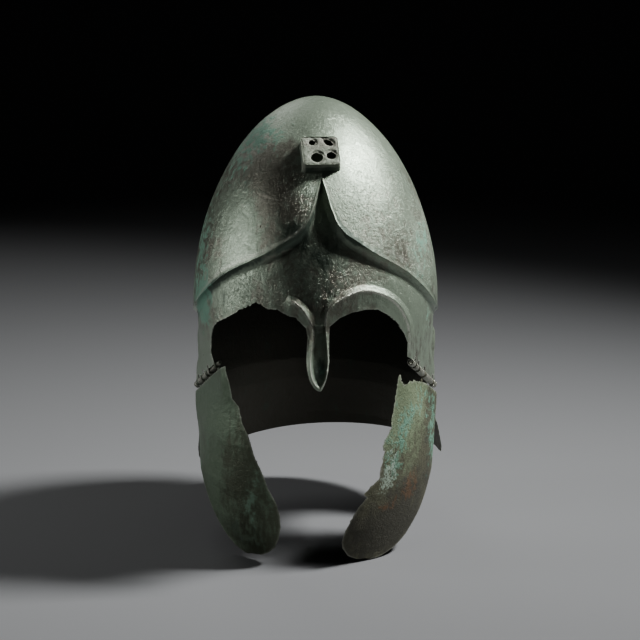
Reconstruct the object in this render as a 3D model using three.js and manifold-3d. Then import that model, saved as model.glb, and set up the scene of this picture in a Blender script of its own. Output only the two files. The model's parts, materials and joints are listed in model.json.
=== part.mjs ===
// Ancient bronze helmet of Chalcidian form: skull, crest holder, two hinged cheekpieces and their hinges.
// Millimetres, +Z up, +X to the viewer's right, the face looks along -Y.
// Heights are written above the cheekpiece tips; the finished group is lowered so that the origin
// is the inner crown, where a head carries the helmet.

import * as THREE from 'three';
import { mergeVertices } from 'three/addons/utils/BufferGeometryUtils.js';
import Module from 'manifold-3d';

const wasm = await Module();
wasm.setup();

// Driving dimensions of the sheet and the dome
const crownHeight = 351;
const wall = 1.5;
const domeHalfWidth = 98.6;
const domeFrontReach = 125;
const domeBackReach = 122;
const domeRise = 163;
const domeFullness = 1.85;
const domeCentreY = 5;

// Ridge where the overhanging dome steps back to the lower skull, with its peak over the brow
const ridgePeakHeight = 300;
const ridgeBackHeight = 166;
const ridgeLip = 0.6;
const ridgeLipHeight = 5;
const ridgeFootDrop = 6;
const ridgeSteepest = 2.4;
const stepFront = 6.5;
const stepSide = 3.2;
const stepFrontTurn = 60;
const peakTurn = 4;
const peakTurnReach = 70;
const stepMiddle = 0.4;

// Lower skull and neck guard
const guardBottomHeight = 49;
const guardTilt = 6;
const guardFlareRight = 10;
const guardFlareLeft = 3;
const guardFlareBack = 12;
const napeHollow = 17;
const templeHollow = 2;
const guardFrontY = 41.6;

// Face opening and nasal
const faceOpeningReach = 5;
const browHeight = 202.5;
const nasalLength = 58;
const nasalTipHeight = browHeight - nasalLength;
const nasalLean = 10;
const nasalLeanDrop = 6.5;
const nasalLeanTop = browHeight - nasalLeanDrop;
const nasalLeanSpread = 30;
const rightBarWidth = 27.6;
const leftBarWidth = 16.6;
const leftBarFootWidth = 19.1;
const rightBarInnerX = domeHalfWidth - rightBarWidth;
const leftBarInnerX = domeHalfWidth - leftBarWidth;
const leftBarBottomX = domeHalfWidth - leftBarFootWidth;
const leftBarTurnRise = 3.5;

// Raised border round the eyes and down the nasal
const borderRaise = 2.3;
const borderHalfWidth = 4.2;
const nasalBorderHalfWidth = 2.6;
const borderSink = 0.9;
const borderFoot = 0.3;
const borderEndFade = 0.125;
const nasalBorderDrop = 10;
const nasalBorderReach = 20;

// Hinge line at the temples: a straight pin from front to rear, the same on both sides
const hingeFrontInset = 25;
const hingeFrontReach = 0.62;
const hingeFrontDrop = 48.5;
const hingeRearInset = 3.3;
const hingeRearReach = 0.18;
const hingeRearDrop = 81.2;
const hingeFrontX = domeHalfWidth - hingeFrontInset;
const hingeFrontY = domeCentreY - hingeFrontReach * domeFrontReach;
const hingeFrontHeight = browHeight - hingeFrontDrop;
const hingeRearX = domeHalfWidth - hingeRearInset;
const hingeRearY = domeCentreY - hingeRearReach * domeFrontReach;
const hingeRearHeight = browHeight - hingeRearDrop;
const pinRadius = 1.5;
const pinClearance = 0.15;
const knuckleWall = 1.1;
const knuckleWidth = 4;
const knuckleClearance = 0.35;
const slotRise = 3.4;
const slotCutReach = 9;
const boreOvershoot = 0.2;
const cheekTopGap = 7;
const tongueOverlap = 2;
const tongueThickness = 1.2;
const rightRollStart = 0;
const leftRollStart = 0.37;
const hingeFlatHeight = 12;
const hingeFlatFade = 22;
const hingeEndFade = 9;
const cheekFlatFade = 35;
const cheekEndFade = 18;

// Ear opening and its turned-out rim
const earTopDrop = 42.5;
const earTopHeight = browHeight - earTopDrop;
const earRearY = 32;
const earRimRaiseRight = 2.6;
const earRimRaiseLeft = 1.6;
const earRimHalfWidth = 3.4;
const earRimRows = 8;
const earRimFade = 0.18;
const earRimFirstShare = 0.3;

// Cheekpieces
const cheekThickness = 1.5;
const cheekRearY = -9;
const cheekShellRise = 8;
const cheekShellTop = hingeFrontHeight + cheekShellRise;
const cheekShellBottom = -8;
const cheekFirstTurn = 6;
const cheekLastTurn = 88;
const cheekTipOverhang = 10;

// Crest holder: a hollow box with four holes in its face
const holderWidth = 28;
const holderHeight = 27.5;
const holderProud = 5.5;
const holderWall = 1.6;
const holderX = 3.6;
const holderDrop = 36.6;
const holderInset = 0.092;
const holderDomeShare = (1 - (1 - holderDrop / domeRise) ** domeFullness) ** (1 / domeFullness);
const holderY = domeCentreY - domeFrontReach * holderDomeShare + holderInset;
const holderCentreHeight = crownHeight - holderDrop;
const holderElevation = 49;
const holderTurn = 7;
const holderSeat = 0.3;
const holderSink = 8;

// Fineness of the faceted surfaces
const skullColumns = 60;
const columnCrowding = 1.6;
const domeRows = 11;
const domeRowSpacing = 1.7;
const skirtRows = 8;
const cheekColumns = 14;
const cheekRows = 13;
const borderSteps = 22;
const earSteps = 12;
const roundSides = 12;
const shortestEdge = 0.06;
const mergeReach = 1e-4;

// How far the cutting prisms run past the metal
const cutMargin = 40;

// Derived heights
const widestHeight = crownHeight - domeRise;
const boreRadius = pinRadius + pinClearance;
const halfTurn = 180;

// Ridge line: turn as a share of half a turn from its peak, rise as a share of the peak's height over the back
const ridgeLine = [
  { turn: 0, rise: 1 },
  { turn: 0.017, rise: 0.91 },
  { turn: 0.028, rise: 0.835 },
  { turn: 0.044, rise: 0.754 },
  { turn: 0.067, rise: 0.698 },
  { turn: 0.1, rise: 0.653 },
  { turn: 0.144, rise: 0.59 },
  { turn: 0.2, rise: 0.522 },
  { turn: 0.256, rise: 0.451 },
  { turn: 0.311, rise: 0.358 },
  { turn: 0.367, rise: 0.261 },
  { turn: 0.422, rise: 0.172 },
  { turn: 0.5, rise: 0.09 },
  { turn: 0.64, rise: 0.037 },
  { turn: 0.81, rise: 0.008 },
  { turn: 1, rise: 0 },
];

// Skirt below the widest line: drop as a share of its height; hollow and flare as shares of the named sizes
const skirtProfile = [
  { drop: 0, temple: 0, nape: 0, flare: 0 },
  { drop: 0.15, temple: 0.2, nape: 0.08, flare: 0 },
  { drop: 0.35, temple: 0.8, nape: 0.5, flare: 0 },
  { drop: 0.55, temple: 1, nape: 0.9, flare: 0.1 },
  { drop: 0.68, temple: 0.9, nape: 1, flare: 0.4 },
  { drop: 0.8, temple: 0.6, nape: 0.95, flare: 0.8 },
  { drop: 0.92, temple: 0.3, nape: 0.85, flare: 1 },
  { drop: 1, temple: 0.2, nape: 0.8, flare: 1 },
];

// Cheekpiece form: height as a share of the hinge's front height; the right and left half widths and the front
// reach as shares of the dome's
const cheekForm = [
  { height: -0.06, right: 0.92, left: 0.915, front: 0.85 },
  { height: 0.05, right: 0.935, left: 0.93, front: 0.88 },
  { height: 0.18, right: 0.965, left: 0.955, front: 0.92 },
  { height: 0.36, right: 0.993, left: 0.98, front: 0.95 },
  { height: 0.6, right: 0.997, left: 0.975, front: 0.965 },
  { height: 0.8, right: 0.99, left: 0.95, front: 0.965 },
  { height: 1.06, right: 0.97, left: 0.945, front: 0.965 },
];

// Front edges of the cheekpieces seen from the front: inner reach as a share of the dome's half width,
// height as a share of the hinge's front height, from the top down to the tip
const rightCheekFront = [
  { reach: 0.69, height: 0.914 },
  { reach: 0.672, height: 0.92 },
  { reach: 0.656, height: 0.97 },
  { reach: 0.643, height: 0.92 },
  { reach: 0.622, height: 0.836 },
  { reach: 0.603, height: 0.758 },
  { reach: 0.59, height: 0.688 },
  { reach: 0.553, height: 0.648 },
  { reach: 0.526, height: 0.607 },
  { reach: 0.538, height: 0.58 },
  { reach: 0.516, height: 0.5 },
  { reach: 0.499, height: 0.44 },
  { reach: 0.455, height: 0.418 },
  { reach: 0.379, height: 0.372 },
  { reach: 0.403, height: 0.349 },
  { reach: 0.342, height: 0.308 },
  { reach: 0.289, height: 0.249 },
  { reach: 0.236, height: 0.183 },
  { reach: 0.207, height: 0.12 },
  { reach: 0.215, height: 0.082 },
  { reach: 0.254, height: 0.038 },
  { reach: 0.324, height: 0.008 },
  { reach: 0.4, height: -0.006 },
];
const leftCheekFront = [
  { reach: 0.7, height: 0.96 },
  { reach: 0.696, height: 0.962 },
  { reach: 0.683, height: 0.928 },
  { reach: 0.668, height: 0.9 },
  { reach: 0.651, height: 0.829 },
  { reach: 0.597, height: 0.795 },
  { reach: 0.573, height: 0.721 },
  { reach: 0.527, height: 0.664 },
  { reach: 0.472, height: 0.553 },
  { reach: 0.416, height: 0.481 },
  { reach: 0.369, height: 0.401 },
  { reach: 0.306, height: 0.328 },
  { reach: 0.278, height: 0.261 },
  { reach: 0.272, height: 0.195 },
  { reach: 0.29, height: 0.129 },
  { reach: 0.32, height: 0.078 },
  { reach: 0.373, height: 0.042 },
  { reach: 0.433, height: 0.02 },
  { reach: 0.505, height: 0.01 },
];

// Rear edge of both cheekpieces seen from the side: depth as a share of the dome's front reach
const cheekRear = [
  { depth: 0.76, height: -0.008 },
  { depth: 0.68, height: 0 },
  { depth: 0.6, height: 0.03 },
  { depth: 0.53, height: 0.075 },
  { depth: 0.456, height: 0.135 },
  { depth: 0.368, height: 0.21 },
  { depth: 0.304, height: 0.268 },
  { depth: 0.232, height: 0.345 },
  { depth: 0.165, height: 0.47 },
  { depth: 0.125, height: 0.58 },
  { depth: 0.085, height: 0.7 },
];

// Broken top edges: place back from the hinge's front end as a share of its length, gap under the pin as a
// share of the named gap
const rightCheekTop = [
  { along: -0.32, gap: 1.79 },
  { along: -0.225, gap: 1.79 },
  { along: -0.17, gap: 2.68 },
  { along: -0.03, gap: 1.93 },
  { along: 0.06, gap: 1.86 },
  { along: 0.1, gap: 1.53 },
  { along: 0.23, gap: 1.41 },
  { along: 0.41, gap: 1.02 },
  { along: 0.59, gap: 0.8 },
  { along: 0.77, gap: 0.6 },
  { along: 1.2, gap: 0.6 },
];
const leftCheekTop = [
  { along: -0.32, gap: 0.85 },
  { along: -0.05, gap: 0.7 },
  { along: 0.16, gap: 0.64 },
  { along: 0.24, gap: 0.6 },
  { along: 1.2, gap: 0.6 },
];

// Brow edges seen from the front: reach as a share of the dome's half width, height as a share of the brow's
const rightBrow = [
  { reach: 0.111, height: 0.947 },
  { reach: 0.189, height: 0.977 },
  { reach: 0.281, height: 0.993 },
  { reach: 0.387, height: 1 },
  { reach: 0.481, height: 0.994 },
  { reach: 0.564, height: 0.966 },
  { reach: 0.633, height: 0.932 },
  { reach: 0.691, height: 0.883 },
  { reach: 0.72, height: 0.844 },
];
const leftBrow = [
  { reach: 0.112, height: 0.962 },
  { reach: 0.15, height: 0.98 },
  { reach: 0.206, height: 0.985 },
  { reach: 0.289, height: 1.004 },
  { reach: 0.386, height: 1.003 },
  { reach: 0.442, height: 1.019 },
  { reach: 0.485, height: 1.009 },
  { reach: 0.585, height: 0.983 },
  { reach: 0.674, height: 0.948 },
  { reach: 0.774, height: 0.91 },
  { reach: 0.809, height: 0.882 },
  { reach: 0.825, height: 0.84 },
];

// Nasal outline below the brow: fall as a share of its length, left and right reach as shares of the half width
const nasalOutline = [
  { fall: 0.21, left: 0.07, right: 0.11 },
  { fall: 0.32, left: 0.058, right: 0.106 },
  { fall: 0.48, left: 0.064, right: 0.104 },
  { fall: 0.62, left: 0.067, right: 0.107 },
  { fall: 0.74, left: 0.06, right: 0.099 },
  { fall: 0.86, left: 0.043, right: 0.083 },
  { fall: 0.95, left: 0.012, right: 0.062 },
  { fall: 1, left: -0.02, right: 0.045 },
];

// Crest of the raised border seen from the front, in the same shares as the brow edges
const rightBorder = [
  { reach: 0.036, height: 0.722 },
  { reach: 0.078, height: 0.76 },
  { reach: 0.094, height: 0.815 },
  { reach: 0.088, height: 0.88 },
  { reach: 0.078, height: 0.94 },
  { reach: 0.088, height: 1 },
  { reach: 0.135, height: 1.028 },
  { reach: 0.19, height: 1.042 },
  { reach: 0.255, height: 1.06 },
  { reach: 0.36, height: 1.071 },
  { reach: 0.453, height: 1.061 },
  { reach: 0.548, height: 1.038 },
  { reach: 0.631, height: 1.001 },
  { reach: 0.688, height: 0.955 },
  { reach: 0.725, height: 0.902 },
  { reach: 0.735, height: 0.84 },
  { reach: 0.74, height: 0.79 },
];
const leftBorder = [
  { reach: -0.025, height: 0.72 },
  { reach: 0.015, height: 0.752 },
  { reach: 0.037, height: 0.8 },
  { reach: 0.031, height: 0.85 },
  { reach: 0.014, height: 0.9 },
  { reach: 0.012, height: 0.93 },
  { reach: 0.034, height: 0.962 },
  { reach: 0.066, height: 0.99 },
  { reach: 0.104, height: 1.014 },
  { reach: 0.155, height: 1.035 },
  { reach: 0.215, height: 1.055 },
];

// Section of the raised border: across as a share of its half width, raise as a share of its height
const borderSection = [
  { across: -1, raise: 0 },
  { across: -0.35, raise: 0.6 },
  { across: 0, raise: 1 },
  { across: 0.5, raise: 0.7 },
  { across: 1.3, raise: 0.35 },
  { across: 2.2, raise: 0.25 },
];

// Section of the ear rim, out from its crest and in towards the opening
const earSection = [
  { across: -1.6, raise: 0 },
  { across: -0.5, raise: 0.7 },
  { across: 0, raise: 1 },
  { across: 0.8, raise: 0.9 },
];

// Ear opening and neck guard front, right side: depth behind the face as a share of the ear's rear edge
const earOutline = [
  { depth: -0.28, height: 0.79 },
  { depth: -0.3, height: 0.89 },
  { depth: -0.08, height: 0.965 },
  { depth: 0.3, height: 1 },
  { depth: 0.7, height: 0.975 },
  { depth: 0.95, height: 0.89 },
  { depth: 1, height: 0.77 },
  { depth: 0.9, height: 0.64 },
  { depth: 0.66, height: 0.51 },
  { depth: 0.46, height: 0.43 },
  { depth: 0.4, height: 0.375 },
  { depth: 0.55, height: 0.32 },
  { depth: 0.95, height: 0.26 },
];

// Slots in the rolled edge and the cheekpiece knuckles that are left, as shares of the hinge's length
const rightSlots = [0.12, 0.265, 0.515, 0.875];
const leftSlots = [0.46, 0.66, 0.875];
const rightKnuckles = [0.515, 0.875];
const leftKnuckles = [0.12, 0.46, 0.66, 0.875];

// Holes in the face of the crest holder: centre and half size as shares of the face
const holderHoles = [
  { across: -0.2, up: 0.32, halfWide: 0.09, halfTall: 0.1, turn: 0 },
  { across: 0.24, up: 0.31, halfWide: 0.15, halfTall: 0.09, turn: -42 },
  { across: -0.11, up: -0.22, halfWide: 0.165, halfTall: 0.17, turn: 0 },
  { across: 0.28, up: -0.16, halfWide: 0.13, halfTall: 0.135, turn: 0 },
];

// Bronze and its patinas
const domeBronze = new THREE.MeshStandardMaterial({ color: 0x7c8576, roughness: 0.4, metalness: 0.6 });
const cheekBronze = new THREE.MeshStandardMaterial({ color: 0x4c5446, roughness: 0.45, metalness: 0.5 });
const hingeBronze = new THREE.MeshStandardMaterial({ color: 0x5d6350, roughness: 0.5, metalness: 0.5 });
const holderBronze = new THREE.MeshStandardMaterial({ color: 0x80877a, roughness: 0.45, metalness: 0.55 });

// Small helpers
const radians = THREE.MathUtils.degToRad;
const clamp = THREE.MathUtils.clamp;
const smooth = (value) => THREE.MathUtils.smoothstep(value, 0, 1);

function lookUp(table, key, value, at) {
  const last = table.length - 1;
  if (at <= table[0][key]) return table[0][value];
  if (at >= table[last][key]) return table[last][value];
  const next = table.findIndex((row) => row[key] > at);
  const low = table[next - 1];
  const high = table[next];
  const share = (at - low[key]) / (high[key] - low[key]);
  return THREE.MathUtils.lerp(low[value], high[value], share);
}

// Closed meshes
function closedMesh(points, triangles) {
  const geometry = new THREE.BufferGeometry();
  const places = points.flatMap((point) => [point.x, point.y, point.z]);
  geometry.setAttribute('position', new THREE.Float32BufferAttribute(places, 3));
  geometry.setIndex(triangles.flat());
  return geometry;
}

function toSolid(geometry) {
  const bare = geometry.clone();
  bare.deleteAttribute('normal');
  bare.deleteAttribute('uv');
  const merged = mergeVertices(bare, mergeReach);
  const index = Array.from(merged.index.array);
  const places = merged.attributes.position;
  const corner = (vertex) => new THREE.Vector3().fromBufferAttribute(places, vertex);
  const kept = [];
  let volume = 0;
  for (let i = 0; i < index.length; i += 3) {
    const [a, b, c] = index.slice(i, i + 3);
    if (a === b || b === c || c === a) continue;
    kept.push([a, b, c]);
    volume += corner(a).dot(corner(b).cross(corner(c)));
  }
  const facing = volume < 0 ? kept.map(([a, b, c]) => [a, c, b]) : kept;
  const mesh = new wasm.Mesh({
    numProp: 3,
    vertProperties: new Float32Array(places.array),
    triVerts: new Uint32Array(facing.flat()),
  });
  return new wasm.Manifold(mesh);
}

// Joins the ends of edges too short to matter, which cuts leave behind, so that no sliver is left
function weld(vertices, triangles) {
  const leader = Array.from({ length: vertices.length / 3 }, (_, index) => index);
  const lead = (index) => {
    let at = index;
    while (leader[at] !== at) at = leader[at];
    return at;
  };
  const step = (a, b, axis) => vertices[3 * a + axis] - vertices[3 * b + axis];
  const span = (a, b) => Math.hypot(step(a, b, 0), step(a, b, 1), step(a, b, 2));
  for (let i = 0; i < triangles.length; i += 3) {
    for (let corner = 0; corner < 3; corner += 1) {
      const a = lead(triangles[i + corner]);
      const b = lead(triangles[i + ((corner + 1) % 3)]);
      if (a !== b && span(a, b) < shortestEdge) leader[b] = a;
    }
  }
  const kept = new Map();
  for (let i = 0; i < triangles.length; i += 3) {
    const corners = [lead(triangles[i]), lead(triangles[i + 1]), lead(triangles[i + 2])];
    if (new Set(corners).size < 3) continue;
    const key = [...corners].sort((a, b) => a - b).join();
    if (kept.has(key)) kept.delete(key);
    else kept.set(key, corners);
  }
  return [...kept.values()].flat();
}

function toGeometry(solid) {
  const mesh = solid.getMesh();
  const geometry = new THREE.BufferGeometry();
  const vertices = new Float32Array(mesh.vertProperties);
  geometry.setAttribute('position', new THREE.BufferAttribute(vertices, 3));
  geometry.setIndex(weld(vertices, mesh.triVerts));
  geometry.computeVertexNormals();
  return geometry;
}

// A sheet with an outer and an inner face, given as rows of points, closed round its edges
function sheet(outer, inner, wraps) {
  const rows = outer.length;
  const columns = outer[0].length;
  const points = [...outer.flat(), ...inner.flat()];
  const innerStart = rows * columns;
  const triangles = [];
  const quad = (a, b, c, d) => triangles.push([a, b, c], [a, c, d]);
  const at = (row, column) => row * columns + (column % columns);
  const spans = wraps ? columns : columns - 1;
  for (let row = 0; row < rows - 1; row += 1) {
    for (let column = 0; column < spans; column += 1) {
      const a = at(row, column);
      const b = at(row + 1, column);
      const c = at(row + 1, column + 1);
      const d = at(row, column + 1);
      quad(a, b, c, d);
      quad(innerStart + d, innerStart + c, innerStart + b, innerStart + a);
    }
  }
  for (let column = 0; column < spans; column += 1) {
    const a = at(rows - 1, column);
    const b = at(rows - 1, column + 1);
    quad(a, innerStart + a, innerStart + b, b);
    if (!wraps) {
      const c = at(0, column);
      const d = at(0, column + 1);
      quad(d, innerStart + d, innerStart + c, c);
    }
  }
  if (!wraps) {
    for (let row = 0; row < rows - 1; row += 1) {
      const a = at(row, 0);
      const b = at(row + 1, 0);
      quad(a, innerStart + a, innerStart + b, b);
      const c = at(row, columns - 1);
      const d = at(row + 1, columns - 1);
      quad(d, innerStart + d, innerStart + c, c);
    }
  }
  return closedMesh(points, triangles);
}

// Rings of points joined in order, with flat ends
function loft(rings) {
  const sides = rings[0].length;
  const points = rings.flat();
  const triangles = [];
  for (let ring = 0; ring < rings.length - 1; ring += 1) {
    for (let side = 0; side < sides; side += 1) {
      const a = ring * sides + side;
      const b = ring * sides + ((side + 1) % sides);
      triangles.push([a, b, b + sides], [a, b + sides, a + sides]);
    }
  }
  const lastRing = (rings.length - 1) * sides;
  for (let side = 1; side < sides - 1; side += 1) {
    triangles.push([0, side + 1, side]);
    triangles.push([lastRing, lastRing + side, lastRing + side + 1]);
  }
  return closedMesh(points, triangles);
}

// A prism over an outline; the outline's plane and the run are given by a basis
function prism(outline, length, basis, origin) {
  const shape = new THREE.Shape(outline.map(([a, b]) => new THREE.Vector2(a, b)));
  const geometry = new THREE.ExtrudeGeometry(shape, { depth: length, bevelEnabled: false, steps: 1 });
  const place = new THREE.Matrix4().makeBasis(...basis);
  place.setPosition(origin);
  geometry.applyMatrix4(place);
  return toSolid(geometry);
}

const axisX = new THREE.Vector3(1, 0, 0);
const axisY = new THREE.Vector3(0, 1, 0);
const axisZ = new THREE.Vector3(0, 0, 1);
const frontBasis = [axisX, axisZ, axisY.clone().negate()];
const sideBasis = [axisY, axisZ, axisX];

// Form of the skull
function ridgeHeight(turn) {
  const rise = lookUp(ridgeLine, 'turn', 'rise', Math.abs(turn) / halfTurn);
  return THREE.MathUtils.lerp(ridgeBackHeight, ridgePeakHeight, rise);
}

function ridgeSlope(turn) {
  const probe = 1.5;
  const arc = radians(2 * probe) * domeHalfWidth;
  const rise = ridgeHeight(Math.abs(turn) + probe) - ridgeHeight(Math.max(0, Math.abs(turn) - probe));
  return Math.min(ridgeSteepest, Math.hypot(1, rise / arc));
}

function stepDepth(turn) {
  const share = smooth(1 - Math.abs(turn) / stepFrontTurn);
  return THREE.MathUtils.lerp(stepSide, stepFront, share);
}

function bearing(turn) {
  return turn + peakTurn * Math.max(0, 1 - Math.abs(turn) / peakTurnReach);
}

function hingeX(y) {
  const share = (y - hingeFrontY) / (hingeRearY - hingeFrontY);
  return THREE.MathUtils.lerp(hingeFrontX, hingeRearX, share);
}

function hingeHeight(y) {
  const share = (y - hingeFrontY) / (hingeRearY - hingeFrontY);
  return THREE.MathUtils.lerp(hingeFrontHeight, hingeRearHeight, share);
}

// The temple plates are flattened towards the plane of their hinge
function flattenTemple(point, depth) {
  const side = Math.sign(point.x);
  const above = point.z - hingeHeight(point.y);
  const byHeight = smooth(1 - (above - hingeFlatHeight) / hingeFlatFade);
  const before = (hingeFrontY - point.y) / hingeEndFade;
  const behind = (point.y - hingeRearY) / hingeEndFade;
  const byEnd = smooth(1 - Math.max(0, before, behind));
  const target = hingeX(point.y) + wall / 2 - depth;
  const weight = byHeight * byEnd;
  point.x = THREE.MathUtils.lerp(point.x, side * target, point.y < 0 ? weight : 0);
  return point;
}

// A point of the skull at a bearing and height, set in from the dome's face; depth is how far into the wall
function skullPoint(angle, height, inset, depth) {
  const set = inset + depth;
  const climb = clamp((height - widestHeight) / domeRise, 0, 1);
  const share = (1 - climb ** domeFullness) ** (1 / domeFullness);
  const drop = clamp((widestHeight - height) / (widestHeight - guardBottomHeight), 0, 1);
  const temple = templeHollow * lookUp(skirtProfile, 'drop', 'temple', drop);
  const nape = napeHollow * lookUp(skirtProfile, 'drop', 'nape', drop);
  const flare = lookUp(skirtProfile, 'drop', 'flare', drop);
  const across = Math.sin(radians(angle));
  const along = Math.cos(radians(angle));
  const sideFlare = across > 0 ? guardFlareRight : guardFlareLeft;
  const halfWidth = domeHalfWidth - temple + sideFlare * flare - set;
  const reach = along > 0 ? domeFrontReach - set : domeBackReach - nape + guardFlareBack * flare - set;
  const x = halfWidth * share * across;
  const lean = nasalLean * smooth((nasalLeanTop - height) / (nasalLeanTop - nasalTipHeight));
  const leanHere = along > 0 ? lean * Math.exp(-((x / nasalLeanSpread) ** 2)) : 0;
  const y = domeCentreY - reach * share * along - leanHere;
  const z = height > widestHeight ? widestHeight + (height - widestHeight) * (1 - set / domeRise) : height;
  return flattenTemple(new THREE.Vector3(x, y, z), depth);
}

function skirtBottom(turn) {
  return guardBottomHeight + guardTilt * Math.sin(radians(turn));
}

// One meridian of the skull from crown to skirt
function meridian(turn, depth) {
  const angle = bearing(turn);
  const ridge = ridgeHeight(turn);
  const steep = ridgeSlope(turn);
  const step = stepDepth(turn);
  const points = [];
  for (let row = 0; row <= domeRows; row += 1) {
    const share = (row / domeRows) ** domeRowSpacing;
    const height = THREE.MathUtils.lerp(crownHeight, ridge + ridgeLipHeight, share);
    points.push(skullPoint(angle, height, 0, depth));
  }
  const foot = ridge - ridgeFootDrop * steep;
  points.push(skullPoint(angle, ridge, -ridgeLip, depth));
  points.push(skullPoint(angle, THREE.MathUtils.lerp(ridge, foot, stepMiddle), step * stepMiddle, depth));
  points.push(skullPoint(angle, foot, step, depth));
  const bottom = skirtBottom(turn);
  for (let row = 1; row <= skirtRows; row += 1) {
    const height = THREE.MathUtils.lerp(foot, bottom, row / skirtRows);
    points.push(skullPoint(angle, height, step, depth));
  }
  return points;
}

function skullGrid(depth) {
  const turns = [];
  const half = skullColumns / 2;
  for (let column = -half; column < half; column += 1) {
    const share = column / half;
    turns.push(Math.sign(share) * halfTurn * Math.abs(share) ** columnCrowding);
  }
  const meridians = turns.map((turn) => meridian(turn, depth));
  return meridians[0].map((_, row) => meridians.map((line) => line[row]));
}

// The outer surface of the lower skull at a place seen from the front
function lowerSurface(x, height) {
  const climb = clamp((height - widestHeight) / domeRise, 0, 1);
  const share = (1 - climb ** domeFullness) ** (1 / domeFullness);
  const guess = Math.asin(clamp(x / ((domeHalfWidth - stepSide) * share), -1, 1));
  const turn = THREE.MathUtils.radToDeg(guess);
  const step = stepDepth(turn);
  const angle = THREE.MathUtils.radToDeg(Math.asin(clamp(x / ((domeHalfWidth - step) * share), -1, 1)));
  const point = skullPoint(angle, height, step, 0);
  point.x = x;
  point.z = height;
  const out = skullPoint(angle, height, step - 1, 0).sub(skullPoint(angle, height, step, 0)).setZ(0);
  return { point, out };
}

// One ring of a raised strip: its top follows a section, its foot lies in the sheet
function stripRing(section, edge, raise) {
  const top = section.map((row) => edge(row, (raise + borderFoot) * row.raise - borderFoot));
  const under = [section[section.length - 1], section[0]].map((row) => edge(row, -borderSink));
  return [...top, ...under];
}

// Raised border along a crest line seen from the front
function borderStrip(rows, side) {
  const spot = (row) => new THREE.Vector3(side * row.reach * domeHalfWidth, row.height * browHeight, 0);
  const crest = rows.map(spot);
  const line = new THREE.CatmullRomCurve3(crest);
  const rings = [];
  for (let stepIndex = 0; stepIndex <= borderSteps; stepIndex += 1) {
    const share = stepIndex / borderSteps;
    const at = line.getPointAt(share);
    const along = line.getTangentAt(share);
    const across = new THREE.Vector2(along.y, -along.x).multiplyScalar(side);
    const onNasal = at.y < browHeight - nasalBorderDrop && Math.abs(at.x) < nasalBorderReach;
    const half = onNasal ? nasalBorderHalfWidth : borderHalfWidth;
    const taper = smooth(share / borderEndFade) * smooth((1 - share) / borderEndFade);
    const edge = (row, lift) => {
      const reach = row.across * half;
      const { point, out } = lowerSurface(at.x + across.x * reach, at.y + across.y * reach);
      return point.addScaledVector(out, lift);
    };
    rings.push(stripRing(borderSection, edge, borderRaise * taper));
  }
  return toSolid(loft(rings));
}

// The outer surface of the lower skull at a place seen from the side
function sideSurface(side, y, height) {
  const reach = y < domeCentreY ? domeFrontReach : domeBackReach;
  const guess = clamp((domeCentreY - y) / (reach - stepSide), -1, 1);
  const angle = side * (90 - THREE.MathUtils.radToDeg(Math.asin(guess)));
  const step = stepDepth(angle);
  const point = skullPoint(angle, height, step, 0);
  const out = skullPoint(angle, height, step - 1, 0).sub(point).setZ(0);
  return { point, out };
}

// Rim turned out along the ear opening
function earRim(side) {
  const raise = side > 0 ? earRimRaiseRight : earRimRaiseLeft;
  const crest = earOutline.slice(0, earRimRows).map((row) => {
    return new THREE.Vector3(row.depth * earRearY, row.height * earTopHeight, 0);
  });
  const line = new THREE.CatmullRomCurve3(crest);
  const rings = [];
  for (let stepIndex = 0; stepIndex <= earSteps; stepIndex += 1) {
    const share = stepIndex / earSteps;
    const at = line.getPointAt(share);
    const along = line.getTangentAt(share);
    const taper = smooth(earRimFirstShare + share / earRimFade) * smooth((1 - share) / earRimFade);
    const across = new THREE.Vector2(along.y, -along.x);
    const edge = (row, lift) => {
      const reach = row.across * earRimHalfWidth;
      const { point, out } = sideSurface(side, at.x + across.x * reach, at.y + across.y * reach);
      return point.addScaledVector(out, lift);
    };
    rings.push(stripRing(earSection, edge, raise * taper));
  }
  return toSolid(loft(rings));
}

// Everything in front of and between the cheeks, with the nasal left standing
function faceCutter() {
  const wide = domeHalfWidth;
  const outline = [];
  const bottom = guardBottomHeight - cutMargin;
  outline.push([rightBarInnerX, bottom], [rightBarInnerX, hingeFrontHeight]);
  for (const row of [...rightBrow].reverse()) outline.push([row.reach * wide, row.height * browHeight]);
  for (const row of nasalOutline) outline.push([row.right * wide, browHeight - row.fall * nasalLength]);
  for (const row of [...nasalOutline].reverse()) {
    outline.push([-row.left * wide, browHeight - row.fall * nasalLength]);
  }
  for (const row of leftBrow) outline.push([-row.reach * wide, row.height * browHeight]);
  outline.push([-leftBarInnerX, hingeFrontHeight + leftBarTurnRise]);
  outline.push([-leftBarBottomX, hingeFrontHeight - leftBarTurnRise], [-leftBarBottomX, bottom]);
  const origin = new THREE.Vector3(0, faceOpeningReach, 0);
  return prism(outline, domeFrontReach + 2 * cutMargin, frontBasis, origin);
}

// The ear opening and everything below the temple plate, in the side view
function sideCutter(side) {
  const edge = (boreRadius + knuckleWall / 2) * hingeSteepness();
  const far = domeFrontReach + cutMargin;
  const bottom = guardBottomHeight - cutMargin;
  const outline = [[-far, bottom], [-far, hingeHeight(-far) + edge]];
  const rearCorner = earOutline[0].depth * earRearY;
  outline.push([rearCorner, hingeHeight(rearCorner) + edge]);
  for (const row of earOutline) outline.push([row.depth * earRearY, row.height * earTopHeight]);
  outline.push([guardFrontY, bottom]);
  const inner = domeHalfWidth / 2;
  const origin = new THREE.Vector3(side > 0 ? inner : -inner - domeHalfWidth, 0, 0);
  return prism(outline, domeHalfWidth, sideBasis, origin);
}

// How much longer a step is upright than square to the hinge line
function hingeSteepness() {
  return Math.hypot(1, (hingeFrontHeight - hingeRearHeight) / (hingeRearY - hingeFrontY));
}

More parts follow.
